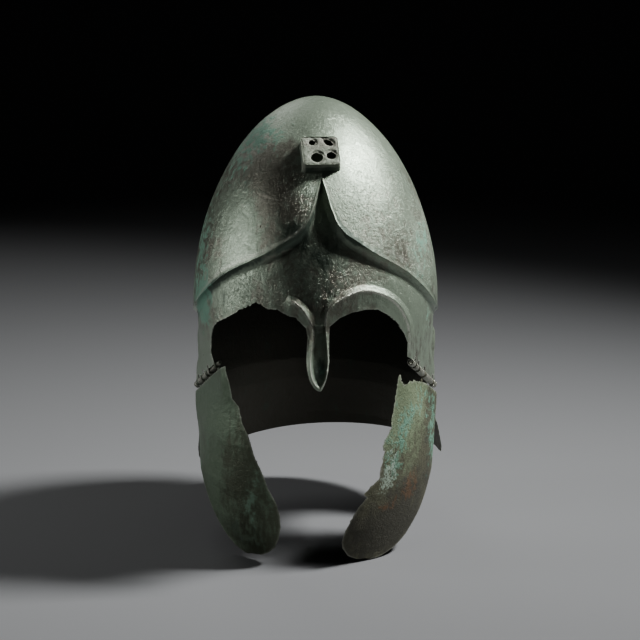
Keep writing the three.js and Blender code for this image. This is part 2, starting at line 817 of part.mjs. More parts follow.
// The hinge's own frame: along the pin, out of the helmet, and up the plate
function hingeFrame(side) {
  const front = new THREE.Vector3(side * hingeFrontX, hingeFrontY, hingeFrontHeight);
  const rear = new THREE.Vector3(side * hingeRearX, hingeRearY, hingeRearHeight);
  const along = rear.clone().sub(front);
  const length = along.length();
  along.normalize();
  const up = axisZ.clone().addScaledVector(along, -axisZ.dot(along)).normalize();
  return { front, along, up, length };
}

// A turned ring of the hinge's radius between two shares of its length, solid unless a bore is taken from it
function barrel(side, from, to, radius) {
  const frame = hingeFrame(side);
  const length = (to - from) * frame.length;
  const geometry = new THREE.CylinderGeometry(radius, radius, length, roundSides);
  const place = new THREE.Matrix4().makeBasis(frame.up, frame.along, frame.up.clone().cross(frame.along));
  place.setPosition(frame.front.clone().addScaledVector(frame.along, from * frame.length + length / 2));
  geometry.applyMatrix4(place);
  return toSolid(geometry);
}

// A block in the hinge's frame: its middle along the pin, its width, and its reach below and above the pin
function hingeBlock(side, share, width, thickness, low, high) {
  const frame = hingeFrame(side);
  const geometry = new THREE.BoxGeometry(thickness, width, high - low);
  const across = frame.along.clone().cross(frame.up);
  const place = new THREE.Matrix4().makeBasis(across, frame.along, frame.up);
  const centre = frame.front.clone().addScaledVector(frame.along, share * frame.length);
  place.setPosition(centre.addScaledVector(frame.up, (low + high) / 2));
  geometry.applyMatrix4(place);
  return toSolid(geometry);
}

// Temple plate edge rolled round the pin, with slots for the cheekpiece's knuckles
function rollEdge(solid, side, slots, start) {
  const outer = boreRadius + knuckleWall;
  const width = knuckleWidth + 2 * knuckleClearance;
  let rolled = solid.add(barrel(side, start, 1, outer));
  rolled = rolled.subtract(barrel(side, -boreOvershoot, 1 + boreOvershoot, boreRadius));
  for (const share of slots) {
    rolled = rolled.subtract(hingeBlock(side, share, width, 2 * slotCutReach, -slotCutReach, slotRise));
  }
  return rolled;
}

// Knuckles of the cheekpiece, each on a tongue that runs down into the plate
function addKnuckles(solid, side, topEdge, shares) {
  const outer = boreRadius + knuckleWall;
  let joined = solid;
  for (const share of shares) {
    const half = knuckleWidth / 2 / hingeFrame(side).length;
    const reach = cheekTopGap * lookUp(topEdge, 'along', 'gap', share) + tongueOverlap;
    joined = joined.add(barrel(side, share - half, share + half, outer));
    joined = joined.add(hingeBlock(side, share, knuckleWidth, tongueThickness, -reach, -boreRadius));
  }
  return joined.subtract(barrel(side, -boreOvershoot, 1 + boreOvershoot, boreRadius));
}

function skull() {
  let solid = toSolid(sheet(skullGrid(0), skullGrid(wall), true));
  solid = solid.add(borderStrip(rightBorder, 1));
  solid = solid.add(borderStrip(leftBorder, -1));
  solid = solid.add(earRim(1));
  solid = solid.add(earRim(-1));
  solid = solid.subtract(faceCutter());
  solid = solid.subtract(sideCutter(1));
  solid = solid.subtract(sideCutter(-1));
  solid = rollEdge(solid, 1, rightSlots, rightRollStart);
  return rollEdge(solid, -1, leftSlots, leftRollStart);
}

// Cheekpiece form at a bearing and height
function cheekPoint(angle, height, side, depth) {
  const share = height / hingeFrontHeight;
  const halfWidth = domeHalfWidth * lookUp(cheekForm, 'height', side > 0 ? 'right' : 'left', share) - depth;
  const reach = domeFrontReach * lookUp(cheekForm, 'height', 'front', share) - depth;
  const x = side * halfWidth * Math.sin(radians(angle));
  const y = domeCentreY - reach * Math.cos(radians(angle));
  return new THREE.Vector3(x, y, height);
}

// The top of each cheekpiece is flattened towards the hinge plane as the temple plate is
function flattenCheek(point, side, depth) {
  const below = hingeHeight(point.y) - point.z;
  const byHeight = smooth(1 - (below - hingeFlatHeight) / cheekFlatFade);
  const before = (hingeFrontY - point.y) / cheekEndFade;
  const behind = (point.y - hingeRearY) / cheekEndFade;
  const byEnd = smooth(1 - Math.max(0, before, behind));
  const target = hingeX(point.y) + cheekThickness / 2 - depth;
  point.x = THREE.MathUtils.lerp(point.x, side * target, byHeight * byEnd);
  return point;
}

function cheekGrid(side, depth) {
  const rows = [];
  for (let row = 0; row <= cheekRows; row += 1) {
    const height = THREE.MathUtils.lerp(cheekShellTop, cheekShellBottom, row / cheekRows);
    const line = [];
    for (let column = 0; column <= cheekColumns; column += 1) {
      const angle = THREE.MathUtils.lerp(cheekFirstTurn, cheekLastTurn, column / cheekColumns);
      line.push(flattenCheek(cheekPoint(angle, height, side, depth), side, depth));
    }
    rows.push(line);
  }
  return rows;
}

function cheekpiece(side, frontEdge, topEdge, knuckles) {
  const wide = domeHalfWidth;
  const tall = hingeFrontHeight;
  let solid = toSolid(sheet(cheekGrid(side, 0), cheekGrid(side, cheekThickness), false));
  const outerX = side * (wide + cutMargin);
  const front = frontEdge.map((row) => [side * row.reach * wide, row.height * tall]);
  const last = front[front.length - 1];
  front.push([last[0] + side * cheekTipOverhang, -cutMargin], [outerX, -cutMargin]);
  front.push([outerX, tall + cutMargin], [front[0][0], tall + cutMargin]);
  const frontOrigin = new THREE.Vector3(0, faceOpeningReach + cutMargin, 0);
  solid = solid.intersect(prism(front, domeFrontReach + 3 * cutMargin, frontBasis, frontOrigin));
  const rear = cheekRear.map((row) => [-row.depth * domeFrontReach, row.height * tall]);
  const reachY = hingeRearY - hingeFrontY;
  const top = [...topEdge].reverse().map((row) => {
    const y = hingeFrontY + row.along * reachY;
    const rearLimit = Math.min(y, cheekRearY);
    return [rearLimit, hingeHeight(rearLimit) - row.gap * cheekTopGap * hingeSteepness()];
  });
  const far = -domeFrontReach - cutMargin;
  const outline = [...rear, ...top, [far, tall + cutMargin], [far, -cutMargin], [rear[0][0], -cutMargin]];
  const width = domeHalfWidth + cutMargin;
  const sideOrigin = new THREE.Vector3(side > 0 ? 0 : -width, 0, 0);
  solid = solid.intersect(prism(outline, width, sideBasis, sideOrigin));
  return addKnuckles(solid, side, topEdge, knuckles);
}

// Crest holder: a box standing on the dome, hollow towards it
function crestHolder() {
  const out = new THREE.Vector3(0, -Math.cos(radians(holderElevation)), Math.sin(radians(holderElevation)));
  out.applyAxisAngle(axisZ, radians(holderTurn));
  const across = axisZ.clone().cross(out).normalize();
  const up = out.clone().cross(across).normalize();
  const centre = new THREE.Vector3(holderX, holderY, holderCentreHeight);
  const box = (width, height, low, high) => {
    const geometry = new THREE.BoxGeometry(width, height, high - low);
    const place = new THREE.Matrix4().makeBasis(across, up, out);
    place.setPosition(centre.clone().addScaledVector(out, (low + high) / 2));
    geometry.applyMatrix4(place);
    return toSolid(geometry);
  };
  const innerWidth = holderWidth - 2 * holderWall;
  const innerHeight = holderHeight - 2 * holderWall;
  let solid = box(holderWidth, holderHeight, -holderSink, holderProud);
  solid = solid.subtract(box(innerWidth, innerHeight, -holderSink - 1, holderProud - holderWall));
  for (const hole of holderHoles) {
    const geometry = new THREE.CylinderGeometry(1, 1, 4 * holderWall, roundSides);
    geometry.rotateX(Math.PI / 2);
    geometry.scale(hole.halfWide * holderWidth, hole.halfTall * holderHeight, 1);
    geometry.rotateZ(radians(hole.turn));
    geometry.translate(hole.across * holderWidth, hole.up * holderHeight, holderProud - holderWall / 2);
    const place = new THREE.Matrix4().makeBasis(across, up, out);
    place.setPosition(centre);
    geometry.applyMatrix4(place);
    solid = solid.subtract(toSolid(geometry));
  }
  const dome = skullGrid(-holderSeat);
  const floor = dome[0].map(() => new THREE.Vector3(0, domeCentreY, guardBottomHeight));
  const filled = sheet(dome, [floor, ...dome.slice(1).map(() => floor)], true);
  return solid.subtract(toSolid(filled));
}

// Assembly
const helmet = new THREE.Group();
helmet.position.z = wall - crownHeight;

function place(name, solid, material) {
  const mesh = new THREE.Mesh(toGeometry(solid), material.clone());
  mesh.name = name;
  helmet.add(mesh);
}

place('skull', skull(), domeBronze);
place('crest_holder', crestHolder(), holderBronze);

const sides = [
  { side: 1, word: 'right', front: rightCheekFront, top: rightCheekTop, knuckles: rightKnuckles },
  { side: -1, word: 'left', front: leftCheekFront, top: leftCheekTop, knuckles: leftKnuckles },
];

for (const { side, word, front, top, knuckles } of sides) {
  place(`cheekpiece_${word}`, cheekpiece(side, front, top, knuckles), cheekBronze);
  place(`hinge_pin_${word}`, barrel(side, 0, 1, pinRadius), hingeBronze);
}

export default helmet;
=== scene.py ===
"""An ancient bronze helmet of chalcidian form, with its patina, on a pale studio floor.

Forms are worked out in millimetres, with heights above the cheekpiece tips, and are placed in metres
with the origin at the inner crown. Right and left are the viewer's.
"""

import json
import logging
import math
from dataclasses import dataclass, field
from enum import Enum
from functools import partial
from typing import Callable, NamedTuple, Sequence

import bmesh
import bpy
from mathutils import Matrix, Vector, noise

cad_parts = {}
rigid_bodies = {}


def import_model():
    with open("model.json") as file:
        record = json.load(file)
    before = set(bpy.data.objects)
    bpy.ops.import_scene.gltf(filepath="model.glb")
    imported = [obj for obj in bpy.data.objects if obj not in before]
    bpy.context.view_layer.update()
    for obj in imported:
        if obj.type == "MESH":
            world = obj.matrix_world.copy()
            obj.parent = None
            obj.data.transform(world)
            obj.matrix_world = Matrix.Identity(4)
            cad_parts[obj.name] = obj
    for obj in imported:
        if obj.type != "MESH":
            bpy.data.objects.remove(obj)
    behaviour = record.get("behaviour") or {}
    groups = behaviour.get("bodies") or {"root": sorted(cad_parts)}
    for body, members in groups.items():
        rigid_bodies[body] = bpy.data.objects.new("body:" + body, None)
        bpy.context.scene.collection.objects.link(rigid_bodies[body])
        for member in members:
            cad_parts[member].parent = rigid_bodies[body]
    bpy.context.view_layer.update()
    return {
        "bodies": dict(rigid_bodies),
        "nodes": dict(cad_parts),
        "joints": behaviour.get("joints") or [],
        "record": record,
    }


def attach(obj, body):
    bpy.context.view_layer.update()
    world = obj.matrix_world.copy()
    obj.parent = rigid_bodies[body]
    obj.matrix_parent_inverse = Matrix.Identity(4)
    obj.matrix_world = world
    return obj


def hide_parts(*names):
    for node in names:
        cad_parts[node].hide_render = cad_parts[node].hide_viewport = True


LOG = logging.getLogger("helmet")
CROWN_INSIDE = 349.5
MILLIMETRES = 1000.0
FAR = 50.0

Pair = tuple[float, float]
Colour = tuple[float, float, float]
Material = bpy.types.Material
Socket = bpy.types.NodeSocket


class Side(Enum):
    """The viewer's right and left."""

    RIGHT = 1
    LEFT = -1


class Spot(NamedTuple):
    """A soft patch of a surface, seen from the front."""

    x: float
    height: float
    wide: float
    tall: float
    amount: float


class Reach(NamedTuple):
    """A point of an outline seen from the front, as shares of the dome's half width and of a height."""

    reach: float
    height: float


class Knot(NamedTuple):
    """One row of a table that is read between its rows."""

    at: float
    value: float


class Wave(NamedTuple):
    """One size of unevenness, in millimetres, with the seed of its pattern."""

    depth: float
    size: float
    seed: float


def smooth(value: float) -> float:
    """Eases a value from 0 to 1 between 0 and 1."""
    held = min(1.0, max(0.0, value))
    return held * held * (3.0 - 2.0 * held)


def lerp(low: float, high: float, share: float) -> float:
    """The value at a share of the way from low to high."""
    return low + (high - low) * share


def clamp(value: float, low: float, high: float) -> float:
    """The value held between two limits."""
    return min(high, max(low, value))


def look_up(table: Sequence[Knot], at: float) -> float:
    """Reads a table between its rows.

    Args:
        table: rows in rising order.
        at: the place to read.

    Returns:
        The value there, held at the ends.
    """
    if at <= table[0].at:
        return table[0].value
    for low, high in zip(table, table[1:]):
        if at < high.at:
            return lerp(low.value, high.value, (at - low.at) / (high.at - low.at))
    return table[-1].value


def knots(*rows: Pair) -> tuple[Knot, ...]:
    """Makes a table from pairs."""
    return tuple(Knot(*row) for row in rows)


def reaches(*rows: Pair) -> tuple[Reach, ...]:
    """Makes an outline table from pairs."""
    return tuple(Reach(*row) for row in rows)


def spots(*rows: Sequence[float]) -> tuple[Spot, ...]:
    """Makes soft patches from rows of x, height, wide, tall and amount."""
    return tuple(Spot(*row) for row in rows)


def waves(*rows: Sequence[float]) -> tuple[Wave, ...]:
    """Makes an unevenness from rows of depth, size and seed."""
    return tuple(Wave(*row) for row in rows)


def waver(point: Vector, size: float, seed: float = 0.0) -> float:
    """Steady noise between about -1 and 1 with features of a given size.

    Args:
        point: place in millimetres.
        size: feature size in millimetres.
        seed: picks another pattern.

    Returns:
        The noise there.
    """
    return noise.noise(point / size + Vector((seed, seed * 1.7, -seed)))


def ripple(point: Vector, rows: Sequence[Wave]) -> float:
    """Adds up the waves of an unevenness at a place in millimetres."""
    return sum(row.depth * waver(point, row.size, row.seed) for row in rows)


def spread(x: float, height: float, rows: Sequence[Spot], reach: float = FAR) -> float:
    """Adds up soft patches.

    Args:
        x: the place's distance to the viewer's right.
        height: the place's height.
        rows: the patches.
        reach: how far out a patch counts, as the square of its own size.

    Returns:
        Their sum there.
    """
    total = 0.0
    for row in rows:
        span = ((x - row.x) / row.wide) ** 2 + ((height - row.height) / row.tall) ** 2
        if span < reach:
            total += row.amount * math.exp(-span)
    return total


def in_part(point: Vector) -> Vector:
    """A point in millimetres over the cheekpiece tips as the part's own metres."""
    return Vector((point.x, point.y, point.z - CROWN_INSIDE)) / MILLIMETRES


class Outline:
    """A closed outline that tells how far a place is outside it, or inside it as a negative."""

    def __init__(self, points: Sequence[Pair]) -> None:
        """Keeps the outline's edges and its box."""
        self.edges = list(zip(points, [*points[1:], points[0]]))
        self.low = (min(p[0] for p in points), min(p[1] for p in points))
        self.high = (max(p[0] for p in points), max(p[1] for p in points))

    def distance(self, a: float, b: float, reach: float = 12.0) -> float:
        """Signed distance of a place from the outline.

        Args:
            a: first coordinate.
            b: second coordinate.
            reach: past this from the outline's box the answer is only a bound.

        Returns:
            The distance, negative inside.
        """
        outside = max(self.low[0] - a, a - self.high[0], self.low[1] - b, b - self.high[1])
        if outside > reach:
            return outside
        nearest = math.inf
        inside = False
        for (ax, ay), (bx, by) in self.edges:
            dx, dy = bx - ax, by - ay
            span = dx * dx + dy * dy
            share = ((a - ax) * dx + (b - ay) * dy) / span if span else 0.0
            share = 0.0 if share < 0.0 else 1.0 if share > 1.0 else share
            gap_x, gap_y = a - ax - share * dx, b - ay - share * dy
            nearest = min(nearest, gap_x * gap_x + gap_y * gap_y)
            if (ay > b) != (by > b) and a < ax + dx * (b - ay) / dy:
                inside = not inside
        return -math.sqrt(nearest) if inside else math.sqrt(nearest)


class Crest:
    """An open line with a side: tells how far a place is across it and how far along it."""

    def __init__(self, points: Sequence[Pair], steps: int = 5) -> None:
        """Rounds the line through its points and keeps its short edges."""
        rounded: list[Pair] = []
        last = len(points) - 1
        for index in range(last):
            before, start = points[max(0, index - 1)], points[index]
            end, after = points[index + 1], points[min(last, index + 2)]
            for step in range(steps):
                rounded.append(self.between(before, start, end, after, step / steps))
        rounded.append(points[-1])
        self.edges = list(zip(rounded, rounded[1:]))
        self.low = (min(p[0] for p in rounded), min(p[1] for p in rounded))
        self.high = (max(p[0] for p in rounded), max(p[1] for p in rounded))

    @staticmethod
    def between(before: Pair, start: Pair, end: Pair, after: Pair, share: float) -> Pair:
        """A point on the smooth curve through four points, between the middle two."""
        square, cube = share * share, share * share * share
        values = []
        for a, b, c, d in zip(before, start, end, after):
            bend, twist = 2 * a - 5 * b + 4 * c - d, 3 * b - a - 3 * c + d
            values.append(0.5 * (2 * b + (c - a) * share + bend * square + twist * cube))
        return values[0], values[1]

    def read(self, a: float, b: float, reach: float) -> tuple[float, float]:
        """Distance across the line, positive to the right of its run, and the share along it.

        Args:
            a: first coordinate.
            b: second coordinate.
            reach: places further off than this answer with this distance.

        Returns:
            The signed distance and the share of the line's edges passed.
        """
        off = max(self.low[0] - a, a - self.high[0], self.low[1] - b, b - self.high[1])
        if off > reach:
            return reach, 0.0
        nearest, side, place = math.inf, 1.0, 0.0
        for index, ((ax, ay), (bx, by)) in enumerate(self.edges):
            dx, dy = bx - ax, by - ay
            span = dx * dx + dy * dy
            share = ((a - ax) * dx + (b - ay) * dy) / span
            share = 0.0 if share < 0.0 else 1.0 if share > 1.0 else share
            gap_x, gap_y = a - ax - share * dx, b - ay - share * dy
            gap = gap_x * gap_x + gap_y * gap_y
            if gap < nearest:
                nearest = gap
                side = 1.0 if dy * (a - ax) - dx * (b - ay) > 0 else -1.0
                place = (index + share) / len(self.edges)
        return side * math.sqrt(nearest), place


@dataclass
class SheetMetal:
    """A thin sheet that is laid out flat as a grid, refined, cut along lines and then bent into place."""

    columns: int
    rows: int
    place: Callable[[float, float], Vector]
    mesh: bmesh.types.BMesh = field(default_factory=bmesh.new)
    placed: dict[Pair, Vector] = field(default_factory=dict)
    snap: float = 0.04
    merge: float = 0.03
    bevel_steps: int = 2
    bevel_angle: float = 50.0

    def at(self, vert: bmesh.types.BMVert) -> Vector:
        """Where a corner of the flat sheet goes, worked out once."""
        key = (vert.co.x, vert.co.y)
        if key not in self.placed:
            self.placed[key] = self.place(*key)
        return self.placed[key]

    def lay_out(self) -> None:
        """Makes the flat grid over the unit square."""
        bmesh.ops.create_grid(self.mesh, x_segments=self.columns, y_segments=self.rows, size=0.5)
        bmesh.ops.translate(self.mesh, verts=self.mesh.verts[:], vec=(0.5, 0.5, 0.0))

    def refine(self, wanted: Callable[[Vector], bool]) -> None:
        """Halves the cells whose corners, once placed, are wanted.

        Args:
            wanted: tells whether a placed point lies where the sheet needs to be finer.
        """
        chosen = {vert for vert in self.mesh.verts if wanted(self.at(vert))}
        edges = [edge for edge in self.mesh.edges if edge.verts[0] in chosen and edge.verts[1] in chosen]
        bmesh.ops.subdivide_edges(self.mesh, edges=edges, cuts=1, use_grid_fill=True)

    def cut(self, gap: Callable[[Vector], float]) -> None:
        """Cuts the sheet along the line where gap is nought and removes the part where it is negative.

        Args:
            gap: signed distance of a placed point from the cut.
        """
        values = {}
        for vert in self.mesh.verts:
            value = gap(self.at(vert))
            values[vert] = 0.0 if abs(value) < self.snap else value
        crossed = []
        for edge in self.mesh.edges:
            first, second = edge.verts
            if values[first] * values[second] < 0.0:
                crossed.append((edge, first, values[first] / (values[first] - values[second])))
        on_line = []
        for edge, first, share in crossed:
            _, vert = bmesh.utils.edge_split(edge, first, share)
            values[vert] = 0.0
            on_line.append(vert)
        near = set(on_line)
        for vert in on_line:
            near.update(other.other_vert(vert) for other in vert.link_edges if values[other.other_vert(vert)] == 0.0)
        bmesh.ops.connect_verts(self.mesh, verts=list(near), check_degenerate=True)
        lost = []
        for face in self.mesh.faces:
            total = sum(values[vert] for vert in face.verts)
            if total < 0.0 or (total == 0.0 and gap(self.place(*face.calc_center_median().xy)) < 0.0):
                lost.append(face)
        bmesh.ops.delete(self.mesh, geom=lost, context="FACES")

    def bend(self, masks: dict[str, Callable[[Vector], float]]) -> None:
        """Moves every point of the flat sheet to its place and stores its masks.

        Args:
            masks: a function of the placed point for each named mask.
        """
        layers = {name: self.mesh.verts.layers.float.new(name) for name in masks}
        for vert in self.mesh.verts:
            point = self.at(vert)
            for name, read in masks.items():
                vert[layers[name]] = read(point)
            vert.co = in_part(point)
        bmesh.ops.remove_doubles(self.mesh, verts=self.mesh.verts[:], dist=self.merge / MILLIMETRES)

    def face_out(self, centre: Vector) -> None:
        """Turns the sheet so that its faces look away from a point inside.

        Args:
            centre: the point, in metres.
        """
        bmesh.ops.recalc_face_normals(self.mesh, faces=self.mesh.faces[:])
        total = 0.0
        for face in self.mesh.faces:
            total += (face.calc_center_median() - centre).dot(face.normal) * face.calc_area()
        if total < 0.0:
            bmesh.ops.reverse_faces(self.mesh, faces=self.mesh.faces[:])

    def finish(self, name: str, thickness: float, edge: float, finishes: Sequence[Material]) -> bpy.types.Object:
        """Makes the object, with its wall and softened edges.

        Args:
            name: the object's name.
            thickness: wall in millimetres, grown inwards.
            edge: radius of the softened edges in millimetres.
            finishes: the outer and the inner finish.

        Returns:
            The new object.
        """
        piece = new_object(name, self.mesh, finishes)
        wall = piece.modifiers.new("wall", "SOLIDIFY")
        wall.thickness = thickness / MILLIMETRES
        wall.offset = -1.0
        wall.use_even_offset = True
        wall.thickness_clamp = 1.0
        wall.material_offset = len(finishes) - 1
        bevel = piece.modifiers.new("soft_edges", "BEVEL")
        bevel.width = edge / MILLIMETRES
        bevel.segments = self.bevel_steps
        bevel.limit_method = "ANGLE"
        bevel.angle_limit = math.radians(self.bevel_angle)
        bevel.use_clamp_overlap = True
        return piece


def new_object(name: str, mesh: bmesh.types.BMesh, finishes: Sequence[Material]) -> bpy.types.Object:
    """Turns a bmesh into an object with smooth faces and its finishes.

    Args:
        name: the object's name.
        mesh: the shape, freed afterwards.
        finishes: one material for each slot.

    Returns:
        The new object.
    """
    data = bpy.data.meshes.new(name)
    for face in mesh.faces:
        face.smooth = True
    mesh.to_mesh(data)
    mesh.free()
    for finish in finishes:
        data.materials.append(finish)
    piece = bpy.data.objects.new(name, data)
    bpy.context.collection.objects.link(piece)
    return piece


class Grain(NamedTuple):
    """One noise of the surface: features to the metre, and how detailed, rough and twisted it is."""

    scale: float
    detail: float
    rough: float = 0.6
    twist: float = 0.0


class Layer(NamedTuple):
    """One layer over the bronze: its mask, what its outline is mixed from, and how it ends and hides."""

    name: str
    mask: str
    mix: tuple[tuple[str, float], ...]
    soft: float
    hides: float = 1.0
    offset: float = 0.0


class Recipe:
    """Puts nodes into a material's or a group's tree."""

    def __init__(self, tree: bpy.types.NodeTree) -> None:
        """Keeps the tree that is filled."""
        self.tree = tree

    def add(self, kind: str, **settings: object) -> bpy.types.Node:
        """Adds a node and sets its options.

        Args:
            kind: the node's type name.
            settings: attributes to set.

        Returns:
            The node.
        """
        node = self.tree.nodes.new(kind)
        for name, value in settings.items():
            setattr(node, name, value)
        return node

    def feed(self, socket: Socket, value: object) -> None:
        """Sets a socket to a number or colour, or links it to an output."""
        if isinstance(value, Socket):
            self.tree.links.new(value, socket)
        elif isinstance(value, tuple) and len(value) == 3:
            socket.default_value = (*value, 1.0) if len(socket.default_value) == 4 else value
        else:
            socket.default_value = value

    def math(self, operation: str, *values: object) -> Socket:
        """One arithmetic step."""
        node = self.add("ShaderNodeMath", operation=operation)
        for socket, value in zip(node.inputs, values):
            self.feed(socket, value)
        return node.outputs[0]

    def weigh(self, parts: Sequence[tuple[Socket, float]], start: object = 0.0) -> Socket:
        """Adds parts to a start, each multiplied by its weight.

        Args:
            parts: outputs and their weights.
            start: what they are added to.

        Returns:
            The sum.
        """
        for value, weight in parts:
            start = self.math("MULTIPLY_ADD", value, weight, start)
        return start

    def ease(self, value: object, low: object, high: object) -> Socket:
        """A mask that eases from 0 to 1 as value goes from low to high."""
        node = self.add("ShaderNodeMapRange", interpolation_type="SMOOTHSTEP")
        for name, item in (("Value", value), ("From Min", low), ("From Max", high)):
            self.feed(node.inputs[name], item)
        return node.outputs[0]

    def blend(self, share: object, first: object, second: object, way: str = "MIX") -> Socket:
        """Mixes two colours."""
        node = self.add("ShaderNodeMix", data_type="RGBA", blend_type=way)
        for index, value in ((0, share), (6, first), (7, second)):
            self.feed(node.inputs[index], value)
        return node.outputs[2]

    def grain(self, where: object, grain: Grain) -> Socket:
        """Noise over the surface."""
        node = self.add("ShaderNodeTexNoise")
        names = ("Vector", "Scale", "Detail", "Roughness", "Distortion")
        for name, value in zip(names, (where, *grain)):
            self.feed(node.inputs[name], value)
        return node.outputs[0]

    def mask(self, name: str) -> Socket:
        """A mask that is stored on the piece."""
        return self.add("ShaderNodeAttribute", attribute_name=name).outputs["Fac"]


class PatinaGroup:
    """The layers of old bronze, shared by every finish: metal, patina, dark film, verdigris, rust and crust."""

    COLOURS = ("Bronze", "Patina", "Film", "Crust", "Verdigris", "Rust", "Worn")
    AMOUNTS = ("Patina Cover", "Film Cover", "Crust Cover", "Verdigris Cover", "Rust Cover", "Pitting", "Gloss")
    STREAK_SHAPE = (1.0, 1.0, 0.14)
    GRAINS = {
        "streak": Grain(150.0, 6.0, 0.65, 0.5),
        "worm": Grain(300.0, 3.0, 0.55, 2.6),
        "broad": Grain(17.0, 5.0, 0.55, 0.6),
        "patch": Grain(62.0, 7.0, 0.65, 0.8),
        "mottle": Grain(210.0, 8.0, 0.7, 0.3),
        "speck": Grain(640.0, 6.0, 0.7),
        "fine": Grain(2100.0, 4.0),
    }
    LAYERS = (
        Layer(
            "Patina", "patina", (("broad", 0.4), ("patch", 0.25), ("streak", 0.35), ("mottle", 0.35)), 0.16,
            offset=-0.175,
        ),
        # The film layer's mask carries dirt and, on the skull, painted shade: a painted shadow under the ridge and
        # painted shade on the left side.
        Layer("Film", "grime", (("streak", 0.5), ("patch", 0.5)), 0.2),
        Layer("Verdigris", "verdigris", (("mottle", 0.6), ("patch", 0.4)), 0.1, 0.85),
        Layer("Rust", "rust", (("mottle", 0.5), ("broad", 0.5)), 0.08, 0.9),
        Layer("Crust", "crust", (("speck", 0.45), ("mottle", 0.55)), 0.07, 0.85),
    )
    # A layer's edge lies at this level of its noise when it covers nothing, and this much lower at full cover.
    BARE_LEVEL = 0.76
    COVER_DROP = 0.52
    # What roughness, metal and height start from, and the weights of what changes them.
    ROUGHNESS = 0.41
    ROUGHNESS_PARTS = (
        ("Gloss", -0.3), ("Crust", 0.3), ("Verdigris", 0.2), ("pitted", 0.34), ("worn", -0.12), ("mottle", 0.3),
    )
    METAL = 0.88
    METAL_PARTS = (("Patina", -0.22), ("pitted", -0.3), ("coated", -0.45))
    WORN_METAL = 0.85
    HEIGHT_PARTS = (
        ("holes", -0.7), ("lumps", 0.6), ("mottle", 0.12), ("patch", 0.6), ("streak", 0.25), ("fine", 0.12),
        ("Crust", 0.45),
    )
    WORN_FROM, WORN_TO = 0.25, 0.6
    SPECK_FROM, SPECK_TO = 0.56, 0.68
    WORM_FROM, WORM_TO, WORM_WEIGHT = 0.5, 0.64, 0.55
    TONE, TONE_WEIGHT = 0.86, 0.28

    def __init__(self) -> None:
        """Builds the group once."""
        self.tree = bpy.data.node_groups.new("old_bronze", "ShaderNodeTree")
        face = self.tree.interface
        for name in self.COLOURS:
            face.new_socket(name=name, in_out="INPUT", socket_type="NodeSocketColor")
        for name in self.AMOUNTS:
            face.new_socket(name=name, in_out="INPUT", socket_type="NodeSocketFloat")
        face.new_socket(name="Color", in_out="OUTPUT", socket_type="NodeSocketColor")
        for name in ("Roughness", "Metallic", "Height"):
            face.new_socket(name=name, in_out="OUTPUT", socket_type="NodeSocketFloat")
        self.recipe = Recipe(self.tree)
        self.given = self.recipe.add("NodeGroupInput").outputs
        self.result = self.recipe.add("NodeGroupOutput").inputs
        self.values: dict[str, Socket] = {"Gloss": self.given["Gloss"]}
        self.add_grains()
        self.recipe.feed(self.result["Color"], self.add_layers())
        self.add_surface()

    def add_grains(self) -> None:
        """Lays out the noises, the streaks drawn out downwards."""
        where = self.recipe.add("ShaderNodeTexCoord").outputs["Object"]
        drawn = self.recipe.add("ShaderNodeMapping")
        drawn.inputs["Scale"].default_value = self.STREAK_SHAPE
        self.recipe.feed(drawn.inputs["Vector"], where)
        for name, grain in self.GRAINS.items():
            self.values[name] = self.recipe.grain(drawn.outputs[0] if name == "streak" else where, grain)

    def weigh(self, parts: Sequence[tuple[str, float]], start: float = 0.0) -> Socket:
        """Adds up named values by their weights."""
        return self.recipe.weigh([(self.values[name], weight) for name, weight in parts], start)

    def add_layers(self) -> Socket:
        """Lays the layers over the bronze and rubs them off where the piece is worn.

        Returns:
            The surface's colour.
        """
        recipe, values = self.recipe, self.values
        colour = self.given["Bronze"]
        for layer in self.LAYERS:
            level = recipe.math("ADD", self.given[f"{layer.name} Cover"], recipe.mask(layer.mask))
            edge = recipe.weigh([(level, -self.COVER_DROP)], self.BARE_LEVEL)
            source = self.weigh(layer.mix, layer.offset)
            values[layer.name] = recipe.ease(source, edge, recipe.math("ADD", edge, layer.soft))
            shown = recipe.math("MULTIPLY", values[layer.name], layer.hides)
            colour = recipe.blend(shown, colour, self.given[layer.name])
        # The pale worn colour is rubbed metal, and on the skull's border crest it is also a painted highlight line.
        rubbed = recipe.ease(values["mottle"], self.WORN_FROM, self.WORN_TO)
        values["worn"] = recipe.math("MULTIPLY", recipe.mask("wear"), rubbed)
        colour = recipe.blend(values["worn"], colour, self.given["Worn"])
        return recipe.blend(1.0, colour, self.weigh([("fine", self.TONE_WEIGHT)], self.TONE), "MULTIPLY")

    def add_surface(self) -> None:
        """Works out roughness, metal and height."""
        recipe, values = self.recipe, self.values
        values["pitted"] = recipe.math("ADD", self.given["Pitting"], recipe.mask("pits"))
        values["coated"] = recipe.math("MAXIMUM", values["Crust"], values["Verdigris"])
        specks = recipe.ease(values["speck"], self.SPECK_FROM, self.SPECK_TO)
        worms = recipe.ease(values["worm"], self.WORM_FROM, self.WORM_TO)
        holes = recipe.weigh([(worms, self.WORM_WEIGHT)], specks)
        values["holes"] = recipe.math("MULTIPLY", holes, values["pitted"])
        values["lumps"] = recipe.math("MULTIPLY", values["mottle"], values["pitted"])
        worn_metal = recipe.math("MULTIPLY", values["worn"], self.WORN_METAL)
        metal = recipe.math("MAXIMUM", self.weigh(self.METAL_PARTS, self.METAL), worn_metal)
        recipe.feed(self.result["Roughness"], self.weigh(self.ROUGHNESS_PARTS, self.ROUGHNESS))
        recipe.feed(self.result["Metallic"], metal)
        recipe.feed(self.result["Height"], self.weigh(self.HEIGHT_PARTS))


